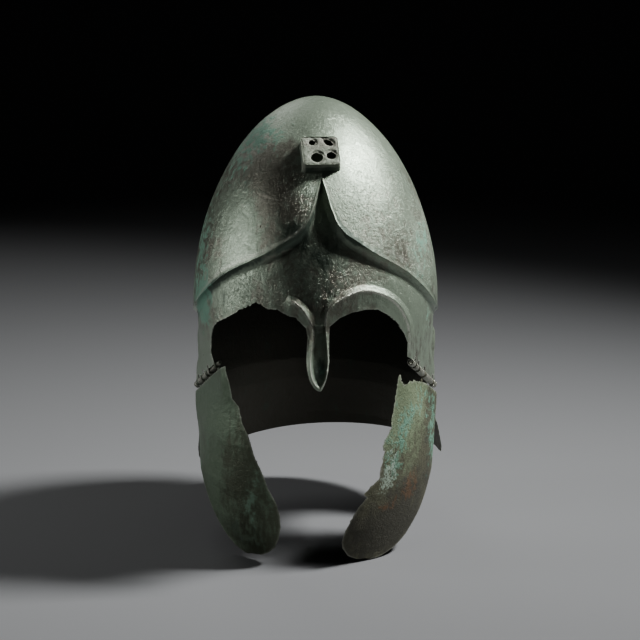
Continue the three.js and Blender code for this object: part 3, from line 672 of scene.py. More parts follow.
@dataclass(frozen=True)
class BronzeFinish:
    """One bronze surface: the colours and covers of its layers, and how deep its relief is."""

    name: str
    bronze: Colour = (0.238, 0.238, 0.190)
    patina: Colour = (0.290, 0.355, 0.270)
    film: Colour = (0.085, 0.115, 0.088)
    crust: Colour = (0.42, 0.52, 0.42)
    verdigris: Colour = (0.13, 0.30, 0.215)
    rust: Colour = (0.15, 0.108, 0.064)
    worn: Colour = (0.66, 0.67, 0.58)
    patina_cover: float = 0.72
    film_cover: float = 0.12
    crust_cover: float = 0.02
    verdigris_cover: float = 0.12
    rust_cover: float = 0.0
    pitting: float = 0.07
    gloss: float = 0.85
    depth: float = 0.0012

    def make(self, group: PatinaGroup) -> Material:
        """Builds the material.

        Args:
            group: the shared layers.

        Returns:
            The material.
        """
        material = bpy.data.materials.new(self.name)
        material.use_nodes = True
        material.node_tree.nodes.clear()
        recipe = Recipe(material.node_tree)
        layers = recipe.add("ShaderNodeGroup", node_tree=group.tree)
        for name in PatinaGroup.COLOURS + PatinaGroup.AMOUNTS:
            recipe.feed(layers.inputs[name], getattr(self, name.lower().replace(" ", "_")))
        bump = recipe.add("ShaderNodeBump")
        bump.inputs["Strength"].default_value = 1.0
        bump.inputs["Distance"].default_value = self.depth
        recipe.feed(bump.inputs["Height"], layers.outputs["Height"])
        shader = recipe.add("ShaderNodeBsdfPrincipled")
        for name, output in (("Base Color", "Color"), ("Roughness", "Roughness"), ("Metallic", "Metallic")):
            recipe.feed(shader.inputs[name], layers.outputs[output])
        recipe.feed(shader.inputs["Normal"], bump.outputs["Normal"])
        recipe.feed(recipe.add("ShaderNodeOutputMaterial").inputs["Surface"], shader.outputs[0])
        return material


@dataclass(frozen=True)
class PlainFinish:
    """The pale studio floor."""

    name: str = "studio_floor"
    colour: Colour = (0.18, 0.184, 0.188)
    roughness: float = 0.7

    def make(self) -> Material:
        """Builds the material."""
        material = bpy.data.materials.new(self.name)
        material.use_nodes = True
        shader = material.node_tree.nodes["Principled BSDF"]
        shader.inputs["Base Color"].default_value = (*self.colour, 1.0)
        shader.inputs["Roughness"].default_value = self.roughness
        return material


@dataclass(frozen=True)
class HingeLine:
    """The straight pin from the front to the rear of a temple, the same on both sides."""

    front_x: float = 73.6
    front_y: float = -72.5
    front_height: float = 154.0
    rear_x: float = 95.3
    rear_y: float = -17.5
    rear_height: float = 121.3
    bore: float = 1.65
    wall: float = 1.1

    def share(self, y: float) -> float:
        """How far back along the hinge a depth lies."""
        return (y - self.front_y) / (self.rear_y - self.front_y)

    def x_at(self, y: float) -> float:
        """Half width of the hinge line at a depth."""
        return lerp(self.front_x, self.rear_x, self.share(y))

    def height_at(self, y: float) -> float:
        """Height of the hinge line at a depth."""
        return lerp(self.front_height, self.rear_height, self.share(y))

    @property
    def steepness(self) -> float:
        """How much longer a step is upright than square to the line."""
        return math.hypot(1.0, (self.front_height - self.rear_height) / (self.rear_y - self.front_y))

    def axes(self, side: Side) -> tuple[Vector, Vector, Vector, Vector, float]:
        """Front end, along, out, up and length of the hinge on a side."""
        front = Vector((side.value * self.front_x, self.front_y, self.front_height))
        rear = Vector((side.value * self.rear_x, self.rear_y, self.rear_height))
        along = (rear - front).normalized()
        up = Vector((0, 0, 1))
        up = (up - along * up.dot(along)).normalized()
        out = along.cross(up) * side.value
        if out.x * side.value < 0:
            out.negate()
        return front, along, out, up, (rear - front).length

    def at(self, side: Side, along_mm: float, out_mm: float, up_mm: float) -> Vector:
        """A point given in the hinge's own axes, in millimetres from its front end."""
        front, along, out, up, _ = self.axes(side)
        return front + along * along_mm + out * out_mm + up * up_mm


@dataclass(frozen=True)
class SkullForm:
    """Sizes and form of the dome, the ridge, the lower skull, the nasal and the neck guard."""

    crown_height: float = 351.0
    wall: float = 1.5
    half_width: float = 98.6
    front_reach: float = 125.0
    back_reach: float = 122.0
    rise: float = 163.0
    fullness: float = 1.85
    centre_y: float = 5.0
    peak_height: float = 300.0
    back_height: float = 166.0
    lip: float = 0.6
    lip_height: float = 5.0
    foot_drop: float = 6.0
    steepest: float = 2.4
    step_front: float = 6.5
    step_side: float = 3.2
    step_front_turn: float = 60.0
    peak_turn: float = 4.0
    peak_turn_reach: float = 70.0
    guard_bottom: float = 49.0
    guard_tilt: float = 6.0
    guard_front_y: float = 41.6
    flare_right: float = 10.0
    flare_left: float = 3.0
    flare_back: float = 12.0
    nape_hollow: float = 17.0
    temple_hollow: float = 2.0
    nasal_tip: float = 144.5
    nasal_lean: float = 10.0
    nasal_lean_top: float = 196.0
    nasal_lean_spread: float = 30.0
    flat_height: float = 12.0
    flat_fade: float = 22.0
    end_fade: float = 9.0
    hinge: HingeLine = HingeLine()
    ridge_line: tuple[Knot, ...] = knots(
        (0, 1), (0.017, 0.91), (0.028, 0.835), (0.044, 0.754), (0.067, 0.698), (0.1, 0.653), (0.144, 0.59),
        (0.2, 0.522), (0.256, 0.451), (0.311, 0.358), (0.367, 0.261), (0.422, 0.172), (0.5, 0.09), (0.64, 0.037),
        (0.81, 0.008), (1, 0),
    )
    temple_share: tuple[Knot, ...] = knots(
        (0, 0), (0.15, 0.2), (0.35, 0.8), (0.55, 1), (0.68, 0.9), (0.8, 0.6), (0.92, 0.3), (1, 0.2)
    )
    nape_share: tuple[Knot, ...] = knots(
        (0, 0), (0.15, 0.08), (0.35, 0.5), (0.55, 0.9), (0.68, 1), (0.8, 0.95), (0.92, 0.85), (1, 0.8)
    )
    flare_share: tuple[Knot, ...] = knots((0, 0), (0.35, 0), (0.55, 0.1), (0.68, 0.4), (0.8, 0.8), (0.92, 1), (1, 1))

    @property
    def widest_height(self) -> float:
        """Height of the widest line."""
        return self.crown_height - self.rise

    def ridge_height(self, turn: float) -> float:
        """Height of the ridge at a turn from the front."""
        return lerp(self.back_height, self.peak_height, look_up(self.ridge_line, abs(turn) / 180.0))

    def ridge_slope(self, turn: float) -> float:
        """How steeply the ridge climbs, as the length of its slope to its level run."""
        probe = 1.5
        arc = math.radians(2 * probe) * self.half_width
        climb = self.ridge_height(abs(turn) + probe) - self.ridge_height(max(0.0, abs(turn) - probe))
        return min(self.steepest, math.hypot(1.0, climb / arc))

    def step_depth(self, turn: float) -> float:
        """How far the lower skull lies in from the dome."""
        return lerp(self.step_side, self.step_front, smooth(1.0 - abs(turn) / self.step_front_turn))

    def bearing(self, turn: float) -> float:
        """Turns the middle of the ridge off the front by its peak's turn."""
        return turn + self.peak_turn * max(0.0, 1.0 - abs(turn) / self.peak_turn_reach)

    def point(self, angle: float, height: float, inset: float, depth: float) -> Vector:
        """A point of the skull.

        Args:
            angle: bearing from the front in degrees.
            height: height above the cheekpiece tips.
            inset: distance in from the dome's face, for the stepped skull.
            depth: distance into the wall, negative for relief.

        Returns:
            The point in millimetres.
        """
        inward = inset + depth
        climb = clamp((height - self.widest_height) / self.rise, 0.0, 1.0)
        share = (1.0 - climb**self.fullness) ** (1.0 / self.fullness)
        drop = clamp((self.widest_height - height) / (self.widest_height - self.guard_bottom), 0.0, 1.0)
        temple = self.temple_hollow * look_up(self.temple_share, drop)
        nape = self.nape_hollow * look_up(self.nape_share, drop)
        flare = look_up(self.flare_share, drop)
        across, along = math.sin(math.radians(angle)), math.cos(math.radians(angle))
        side_flare = self.flare_right if across > 0 else self.flare_left
        half = self.half_width - temple + side_flare * flare - inward
        if along > 0:
            reach = self.front_reach - inward
        else:
            reach = self.back_reach - nape + self.flare_back * flare - inward
        x = half * share * across
        y = self.centre_y - reach * share * along
        if along > 0:
            lean = self.nasal_lean * smooth((self.nasal_lean_top - height) / (self.nasal_lean_top - self.nasal_tip))
            y -= lean * math.exp(-((x / self.nasal_lean_spread) ** 2))
        z = height
        if height > self.widest_height:
            z = self.widest_height + (height - self.widest_height) * (1.0 - inward / self.rise)
        return self.flatten(Vector((x, y, z)), depth)

    def flatten(self, point: Vector, depth: float) -> Vector:
        """Flattens the temple plates towards the plane of their hinge."""
        if point.y >= 0:
            return point
        above = point.z - self.hinge.height_at(point.y)
        by_height = smooth(1.0 - (above - self.flat_height) / self.flat_fade)
        before = (self.hinge.front_y - point.y) / self.end_fade
        behind = (point.y - self.hinge.rear_y) / self.end_fade
        weight = by_height * smooth(1.0 - max(0.0, before, behind))
        target = self.hinge.x_at(point.y) + self.wall / 2 - depth
        point.x = lerp(point.x, math.copysign(target, point.x), weight)
        return point

    def bottom(self, turn: float) -> float:
        """Height of the lower edge at a turn."""
        return self.guard_bottom + self.guard_tilt * math.sin(math.radians(turn))


@dataclass
class Skull:
    """The one-piece skull: dome, ridge, brow, nasal, temples, ears and neck guard."""

    form: SkullForm
    columns: int = 214
    rows: int = 156
    crowding: float = 1.35
    dome_share: float = 0.32
    lip_share: float = 0.36
    step_share: float = 0.44
    dome_spacing: float = 1.6
    step_roundness: float = 1.7
    foot_easing: float = 0.55
    brow_height: float = 202.5
    opening_reach: float = 5.0
    right_bar_x: float = 71.0
    left_bar_x: float = 82.0
    left_bar_foot_x: float = 79.5
    left_bar_notch: float = 3.5
    border_raise: float = 2.6
    border_half: float = 4.2
    border_fade: float = 0.12
    border_rear_y: float = -40.0
    border_top: float = 240.0
    border_side_x: float = 90.0
    nasal_half: float = 2.0
    nasal_side_x: float = 20.0
    nasal_drop: float = 10.0
    ear_top: float = 160.0
    ear_rear: float = 32.0
    ear_raise_right: float = 2.6
    ear_raise_left: float = 1.6
    ear_half: float = 3.4
    ear_fade: float = 0.18
    ear_start: float = 0.3
    slot_rise: float = 6.0
    slot_half: float = 1.1
    edge_radius: float = 0.4
    edge_band: float = 6.0
    broken_x: float = -8.0
    broken_height: float = 186.0
    broken_fade_x: float = 8.0
    broken_fade_height: float = 6.0
    teeth_x: float = -46.0
    teeth_spread: float = 11.0
    teeth_depth: float = 1.6
    teeth_sharpness: float = 5.0
    margin: float = 40.0
    hammering: tuple[Wave, ...] = waves((0.32, 34, 3), (0.14, 11, 7), (0.1, 3.2, 5))
    root_waves: tuple[Wave, ...] = waves((0.28, 3, 9))
    tooth_waves: tuple[Wave, ...] = waves((1, 4, 6))
    jags: tuple[Wave, ...] = waves((0.5, 4.3, 2), (0.3, 1.5, 4))
    face_waves: tuple[Wave, ...] = waves((0.16, 2.2, 8))
    side_waves: tuple[Wave, ...] = waves((0.2, 4, 1))
    right_slots: tuple[float, ...] = (0.12, 0.265, 0.515, 0.875)
    left_slots: tuple[float, ...] = (0.46, 0.66, 0.875)
    right_brow: tuple[Reach, ...] = reaches(
        (0.111, 0.947), (0.189, 0.977), (0.281, 0.993), (0.387, 1.0), (0.481, 0.994), (0.564, 0.966),
        (0.633, 0.932), (0.691, 0.883), (0.72, 0.844),
    )
    left_brow: tuple[Reach, ...] = reaches(
        (0.112, 0.962), (0.15, 0.98), (0.206, 0.985), (0.289, 1.004), (0.386, 1.003), (0.442, 1.019),
        (0.485, 1.009), (0.585, 0.983), (0.674, 0.948), (0.774, 0.91), (0.809, 0.882), (0.825, 0.84),
    )
    nasal_right: tuple[Knot, ...] = knots(
        (0.21, 0.11), (0.32, 0.106), (0.48, 0.104), (0.62, 0.107), (0.74, 0.099), (0.86, 0.083),
        (0.95, 0.062), (1, 0.045),
    )
    nasal_left: tuple[Knot, ...] = knots(
        (0.21, 0.07), (0.32, 0.058), (0.48, 0.064), (0.62, 0.067), (0.74, 0.06), (0.86, 0.043),
        (0.95, 0.012), (1, -0.02),
    )
    right_border: tuple[Reach, ...] = reaches(
        (0.036, 0.722), (0.078, 0.76), (0.094, 0.815), (0.088, 0.88), (0.078, 0.94), (0.088, 1), (0.135, 1.028),
        (0.19, 1.042), (0.255, 1.06), (0.36, 1.071), (0.453, 1.061), (0.548, 1.038), (0.631, 1.001),
        (0.688, 0.955), (0.725, 0.902), (0.735, 0.84), (0.74, 0.79),
    )
    left_border: tuple[Reach, ...] = reaches(
        (-0.036, 0.722), (0.015, 0.752), (0.037, 0.8), (0.031, 0.85), (0.014, 0.9), (0.012, 0.93), (0.034, 0.962),
        (0.066, 0.99), (0.104, 1.014), (0.155, 1.035), (0.215, 1.055),
    )
    border_section: tuple[Knot, ...] = knots((-1, 0), (-0.45, 0.5), (0, 1), (0.5, 0.74), (1.3, 0.42), (2.6, 0.12))
    ear_section: tuple[Knot, ...] = knots((-1.6, 0), (-0.5, 0.7), (0, 1), (0.8, 0.9))
    ear_outline: tuple[Reach, ...] = reaches(
        (-0.28, 0.79), (-0.3, 0.89), (-0.08, 0.965), (0.3, 1), (0.7, 0.975), (0.95, 0.89), (1, 0.77), (0.9, 0.64),
        (0.66, 0.51), (0.46, 0.43), (0.4, 0.375), (0.55, 0.32), (0.95, 0.26),
    )
    ear_rim_rows: int = 8

    def __post_init__(self) -> None:
        """Works out the outlines and crest lines from the sizes."""
        wide, brow = self.form.half_width, self.brow_height
        low = self.form.guard_bottom - self.margin
        length = brow - self.form.nasal_tip
        face = [(self.right_bar_x, low), (self.right_bar_x, self.form.hinge.front_height)]
        face += [(row.reach * wide, row.height * brow) for row in reversed(self.right_brow)]
        face += [(row.value * wide, brow - row.at * length) for row in self.nasal_right]
        face += [(-row.value * wide, brow - row.at * length) for row in reversed(self.nasal_left)]
        face += [(-row.reach * wide, row.height * brow) for row in self.left_brow]
        foot = self.form.hinge.front_height
        face += [(-self.left_bar_x, foot + self.left_bar_notch)]
        face += [(-self.left_bar_foot_x, foot - self.left_bar_notch), (-self.left_bar_foot_x, low)]
        self.face = Outline(face)
        hinge = self.form.hinge
        edge = (hinge.bore + hinge.wall / 2) * hinge.steepness
        far = -self.form.front_reach - self.margin
        corner = self.ear_outline[0].reach * self.ear_rear
        side = [(far, low), (far, hinge.height_at(far) + edge), (corner, hinge.height_at(corner) + edge)]
        side += [(row.reach * self.ear_rear, row.height * self.ear_top) for row in self.ear_outline]
        side += [(self.form.guard_front_y, low)]
        self.side = Outline(side)
        self.borders = {
            Side.RIGHT: Crest([(row.reach * wide, row.height * brow) for row in self.right_border]),
            Side.LEFT: Crest([(row.reach * wide, row.height * brow) for row in self.left_border]),
        }
        ear = self.ear_outline[: self.ear_rim_rows]
        self.ear = Crest([(row.reach * self.ear_rear, row.height * self.ear_top) for row in ear])

    def border(self, point: Vector) -> tuple[float, float, float]:
        """Reads the raised border near a point of the front.

        Args:
            point: a place on the skull.

        Returns:
            Distance across the crest towards the opening, share along it, and the strip's half width.
        """
        best = (FAR, 0.0, self.border_half)
        if point.y > self.border_rear_y or point.z > self.border_top or abs(point.x) > self.border_side_x:
            return best
        for side, crest in self.borders.items():
            across, share = crest.read(side.value * point.x, point.z, FAR)
            if abs(across) < abs(best[0]):
                on_nasal = point.z < self.brow_height - self.nasal_drop and abs(point.x) < self.nasal_side_x
                best = (across, share, self.nasal_half if on_nasal else self.border_half)
        return best

    def ear_rim(self, point: Vector) -> float:
        """Height of the ear opening's turned-out rim, nought away from it."""
        if not (self.EAR_FRONT < point.y < self.EAR_REAR and self.EAR_BOTTOM < point.z < self.EAR_TOP):
            return 0.0
        gap, share = self.ear.read(point.y, point.z, FAR)
        if abs(gap) >= self.EAR_REACH * self.ear_half:
            return 0.0
        top = self.ear_raise_right if point.x > 0 else self.ear_raise_left
        ends = smooth(self.ear_start + share / self.ear_fade) * smooth((1.0 - share) / self.ear_fade)
        return top * look_up(self.ear_section, gap / self.ear_half) * ends

    def relief(self, point: Vector) -> float:
        """Height of the border, the ear rim and the hammered waves over the plain form.

        Args:
            point: a place on the plain form.

        Returns:
            The height outwards in millimetres.
        """
        across, share, half = self.border(point)
        raised = 0.0
        if abs(across) < FAR:
            fade = smooth((1.0 - share) / self.border_fade)
            raised = self.border_raise * look_up(self.border_section, across / half) * fade
        root = 0.0
        if point.y < 0:
            root = spread(point.x, point.z, self.ROUGH_ROOT) * ripple(point, self.root_waves)
        return max(raised, self.ear_rim(point)) + ripple(point, self.hammering) + root

    def place(self, u: float, v: float) -> Vector:
        """Bends a point of the flat sheet onto the skull.

        Args:
            u: share round the skull, starting and ending at the back.
            v: share down from the crown.

        Returns:
            The point in millimetres.
        """
        form = self.form
        swing = 2.0 * u - 1.0
        turn = math.copysign(180.0 * abs(swing) ** self.crowding, swing)
        angle = form.bearing(turn)
        ridge = form.ridge_height(turn)
        step = form.step_depth(turn)
        foot = ridge - form.foot_drop * form.ridge_slope(turn)
        if v <= self.dome_share:
            share = (v / self.dome_share) ** self.dome_spacing
            height, inset = lerp(form.crown_height, ridge + form.lip_height, share), 0.0
        elif v <= self.lip_share:
            share = (v - self.dome_share) / (self.lip_share - self.dome_share)
            height, inset = lerp(ridge + form.lip_height, ridge, share), -form.lip * share * share
        elif v <= self.step_share:
            share = (v - self.lip_share) / (self.step_share - self.lip_share)
            height = lerp(ridge, foot, lerp(share, share * share, self.foot_easing))
            inset = lerp(-form.lip, step, 1.0 - (1.0 - share) ** self.step_roundness)
        else:
            share = (v - self.step_share) / (1.0 - self.step_share)
            height, inset = lerp(foot, form.bottom(turn), share), step
        plain = form.point(angle, height, inset, 0.0)
        return form.point(angle, height, inset, -self.relief(plain))

    def face_gap(self, point: Vector) -> float:
        """Signed distance from the eye and mouth opening, with its broken left edge."""
        if point.y > self.opening_reach:
            return FAR
        gap = self.face.distance(point.x, point.z)
        if abs(gap) > self.edge_band:
            return gap
        broken = smooth((self.broken_x - point.x) / self.broken_fade_x)
        broken *= smooth((point.z - self.broken_height) / self.broken_fade_height)
        notch = abs(ripple(Vector((point.x, 0.0, 0.0)), self.tooth_waves))
        teeth = self.teeth_depth * math.exp(-(((point.x - self.teeth_x) / self.teeth_spread) ** 2))
        bite = teeth * smooth(1.0 - notch * self.teeth_sharpness)
        return gap + broken * (ripple(point, self.jags) - bite) + ripple(point, self.face_waves)

    def side_gap(self, point: Vector) -> float:
        """Signed distance from the ear openings and what lies under the temple plates."""
        if abs(point.x) < self.SIDE_X or point.y > self.SIDE_REAR:
            return FAR
        return self.side.distance(point.y, point.z) + ripple(point, self.side_waves)

    def slot_gap(self, point: Vector) -> float:
        """Signed distance from the narrow slots over the rolled edges."""
        if abs(point.x) < self.SLOT_X or point.y > 0.0 or point.z > self.SLOT_TOP:
            return FAR
        side = Side.RIGHT if point.x > 0 else Side.LEFT
        front, along, _, up, length = self.form.hinge.axes(side)
        offset = point - front
        run, rise = offset.dot(along), offset.dot(up)
        slots = self.right_slots if side is Side.RIGHT else self.left_slots
        near = min(abs(run - share * length) for share in slots)
        return max(near - self.slot_half, rise - self.slot_rise)

    def below_ridge(self, point: Vector) -> float:
        """How far a place lies under the ridge's edge, or far off where the ridge has faded."""
        turn = math.degrees(math.atan2(point.x, self.form.centre_y - point.y)) - self.form.peak_turn
        return self.form.ridge_height(turn) - point.z if abs(turn) < self.RIDGE_REACH else FAR

    def wear(self, point: Vector) -> float:
        """Bright rubbed metal on the border's crest, the ridge's edge and the opening's edges; on the border's crest
        it is also a painted highlight line.
        """
        across, share, half = self.border(point)
        crest = smooth(1.0 - abs(across) / (self.CREST_SHARE * half)) * smooth((1.0 - share) / self.CREST_FADE)
        # The crest's pale band is rubbed metal and a painted highlight line.
        rubbed = self.CREST_WEAR * crest * (1.0 - spread(point.x, point.z, self.DULL_ROOT))
        if point.y < 0:
            rubbed += self.EDGE_WEAR * smooth(1.0 - abs(self.face.distance(point.x, point.z)) / self.EDGE_BAND)
        rubbed += self.SLOT_WEAR * smooth(1.0 - abs(self.slot_gap(point)) / self.SLOT_BAND)
        rubbed += self.RIDGE_WEAR * smooth(1.0 - abs(self.below_ridge(point)) / self.RIDGE_BAND)
        return clamp(rubbed, 0.0, 1.0)

    def dirt(self, point: Vector) -> float:
        """Darkening for the film layer: its patches, partly painted shade, and a painted shadow in a band under the
        ridge's edge.
        """
        # A painted shadow in a band under the ridge's edge.
        caught = smooth(1.0 - abs(self.below_ridge(point) - self.DIRT_DROP) / self.DIRT_BAND)
        return self.DIRT_CAUGHT * caught + self.patches(point, self.GRIME)

    def patches(self, point: Vector, rows: Sequence[Spot]) -> float:
        """Soft patches of the front, fading towards the back.

        Args:
            point: a place on the skull.
            rows: the patches.

        Returns:
            Their sum there.
        """
        front = smooth((self.PATCH_REAR - point.y) / self.PATCH_FADE)
        return spread(point.x, point.z, rows, self.PATCH_REACH) * front

    EAR_FRONT, EAR_REAR, EAR_BOTTOM, EAR_TOP, EAR_REACH = -40.0, 60.0, 60.0, 180.0, 4.0
    SIDE_X, SIDE_REAR = 45.0, 80.0
    SLOT_X, SLOT_TOP = 60.0, 180.0
    RIDGE_REACH = 120.0
    CREST_WEAR, CREST_SHARE, CREST_FADE = 0.95, 0.34, 0.1
    EDGE_WEAR, EDGE_BAND = 0.35, 1.4
    SLOT_WEAR, SLOT_BAND = 0.9, 0.9
    RIDGE_WEAR, RIDGE_BAND = 0.35, 2.4
    # The painted shadow under the ridge: its strength, how far under the edge it centres, and its half width.
    DIRT_CAUGHT, DIRT_DROP, DIRT_BAND = 0.6, 5.5, 6.0
    PATCH_REAR, PATCH_FADE, PATCH_REACH = 40.0, 50.0, 6.0
    CENTRE = Vector((0.0, 0.0, -0.15))
    ROUGH_ROOT = spots((12, 211, 12, 12, 1))
    DULL_ROOT = spots((14, 208, 9, 10, 0.8))
    # Dark patches for the film layer. The one at (4, 244) paints the shadow under the ridge's peak, and those at
    # (-48, 296), (-80, 262) and (-66, 202) paint shade on the left side, turned from the key light; the rest darken
    # the front where they stand.
    GRIME = spots(
        (6, 207, 13, 20, 0.4), (-48, 296, 30, 38, 0.4), (4, 244, 20, 22, 0.6), (4, 160, 6, 14, 0.8),
        (-80, 262, 14, 34, 0.25), (-16, 262, 12, 20, 0.5), (-66, 202, 34, 22, 0.34), (-90, 170, 12, 30, 0.4),
        (27, 258, 14, 14, 0.25),
    )
    MASKS = {
        "patina": spots(
            (40, 315, 34, 28, 0.3), (-62, 262, 20, 26, 0.25), (60, 205, 26, 26, 0.25), (0, 345, 44, 16, 0.5),
            (-70, 215, 18, 14, 0.3), (-40, 300, 24, 30, -0.3),
        ),
        "crust": spots(
            (2, 290, 11, 16, 0.26), (30, 270, 18, 16, 0.2), (5, 158, 5, 9, 0.3), (-30, 336, 30, 12, 0.34),
            (-76, 200, 16, 12, 0.2), (80, 243, 14, 26, 0.42), (-52, 318, 18, 14, 0.3), (64, 268, 14, 12, 0.24),
        ),
        "verdigris": spots(
            (-90, 250, 15, 60, 0.5), (82, 240, 16, 30, 0.46), (-44, 327, 36, 20, 0.5), (88, 180, 8, 26, 0.36),
            (5, 157, 6, 10, 0.5), (-66, 300, 18, 30, 0.38), (-88, 190, 10, 24, 0.5),
        ),
        "rust": spots((62, 258, 20, 14, 0.12), (72, 180, 9, 16, 0.12)),
        "pits": spots(
            (2, 290, 13, 18, 0.4), (30, 272, 20, 22, 0.4), (12, 210, 10, 8, 0.15), (-50, 215, 26, 12, 0.25),
            (84, 240, 16, 34, 0.35), (5, 160, 8, 16, 0.7), (32, 222, 24, 12, 0.2), (-50, 328, 30, 14, 0.3),
        ),
    }

    def build(self, outer: Material, inner: Material) -> None:
        """Makes the skull.

        Args:
            outer: the finish of the outside and the edges.
            inner: the finish of the inside.
        """
        sheet = SheetMetal(self.columns, self.rows, self.place)
        sheet.lay_out()
        sheet.refine(self.wants_finer)
        sheet.refine(self.wants_finest)
        for gap in (self.face_gap, self.side_gap, self.slot_gap):
            sheet.cut(gap)
        masks: dict[str, Callable[[Vector], float]] = {"wear": self.wear, "grime": self.dirt}
        for name, rows in self.MASKS.items():
            masks[name] = lambda point, rows=rows: self.patches(point, rows)
        sheet.bend(masks)
        sheet.face_out(self.CENTRE)
        piece = sheet.finish("skull_shell", self.form.wall, self.edge_radius, (outer, inner))
        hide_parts("skull")
        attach(piece, "helmet")

    # How near a border's crest, a cut edge or a slot the sheet is halved once, and how near once more.
    FINER_BORDER, FINER_SIDE, FINER_SLOT, FINER_FACE = 10.0, 3.5, 4.0, 4.0
    FINEST_BORDER, FINEST_SLOT, FINEST_FACE = 5.0, 2.0, 2.5
    FINEST_X, FINEST_HEIGHT = -8.0, 184.0

    def wants_finer(self, point: Vector) -> bool:
        """Whether the sheet needs a finer grid for its relief or its cut edges."""
        if abs(self.border(point)[0]) < self.FINER_BORDER or abs(self.side_gap(point)) < self.FINER_SIDE:
            return True
        if abs(self.slot_gap(point)) < self.FINER_SLOT:
            return True
        return point.y < self.opening_reach and abs(self.face.distance(point.x, point.z)) < self.FINER_FACE

    def wants_finest(self, point: Vector) -> bool:
        """Whether the sheet needs its finest grid for a crest or a broken edge."""
        if abs(self.border(point)[0]) < self.FINEST_BORDER or abs(self.slot_gap(point)) < self.FINEST_SLOT:
            return True
        if point.y >= 0 or point.x >= self.FINEST_X or point.z <= self.FINEST_HEIGHT:
            return False
        return abs(self.face.distance(point.x, point.z)) < self.FINEST_FACE


@dataclass(frozen=True)
class CheekTables:
    """What differs between the two cheekpieces."""

    half_width: tuple[Knot, ...]
    front: tuple[Reach, ...]
    top: tuple[Knot, ...]
    knuckles: tuple[float, ...]
    slits: tuple[float, ...]
    jag: float


RIGHT_CHEEK = CheekTables(
    half_width=knots(
        (-0.06, 0.92), (0.05, 0.935), (0.18, 0.965), (0.36, 0.993), (0.6, 0.997), (0.8, 0.99), (1.06, 0.97)
    ),
    front=reaches(
        (0.69, 0.914), (0.672, 0.92), (0.656, 0.97), (0.643, 0.92), (0.622, 0.836), (0.603, 0.758), (0.59, 0.688),
        (0.553, 0.648), (0.526, 0.607), (0.538, 0.58), (0.516, 0.5), (0.499, 0.44), (0.455, 0.418), (0.379, 0.372),
        (0.403, 0.349), (0.342, 0.308), (0.289, 0.249), (0.236, 0.183), (0.207, 0.12), (0.215, 0.082),
        (0.254, 0.038), (0.324, 0.008), (0.4, -0.006),
    ),
    top=knots(
        (-0.32, 1.79), (-0.225, 1.79), (-0.17, 2.68), (-0.03, 1.93), (0.06, 1.86), (0.1, 1.53), (0.23, 1.41),
        (0.41, 1.02), (0.59, 0.8), (0.77, 0.6), (1.2, 0.6),
    ),
    knuckles=(0.515, 0.875),
    slits=(0.27, 0.45),
    jag=0.9,
)
LEFT_CHEEK = CheekTables(
    half_width=knots(
        (-0.06, 0.915), (0.05, 0.93), (0.18, 0.955), (0.36, 0.98), (0.6, 0.975), (0.8, 0.95), (1.06, 0.945)
    ),
    front=reaches(
        (0.7, 0.96), (0.696, 0.962), (0.683, 0.928), (0.668, 0.9), (0.651, 0.829), (0.597, 0.795), (0.573, 0.721),
        (0.527, 0.664), (0.472, 0.553), (0.416, 0.481), (0.369, 0.401), (0.306, 0.328), (0.278, 0.261),
        (0.272, 0.195), (0.29, 0.129), (0.32, 0.078), (0.373, 0.042), (0.433, 0.02), (0.505, 0.01),
    ),
    top=knots((-0.32, 0.85), (-0.05, 0.7), (0.16, 0.64), (0.24, 0.6), (1.2, 0.6)),
    knuckles=(0.12, 0.46, 0.66, 0.875),
    slits=(),
    jag=0.35,
)


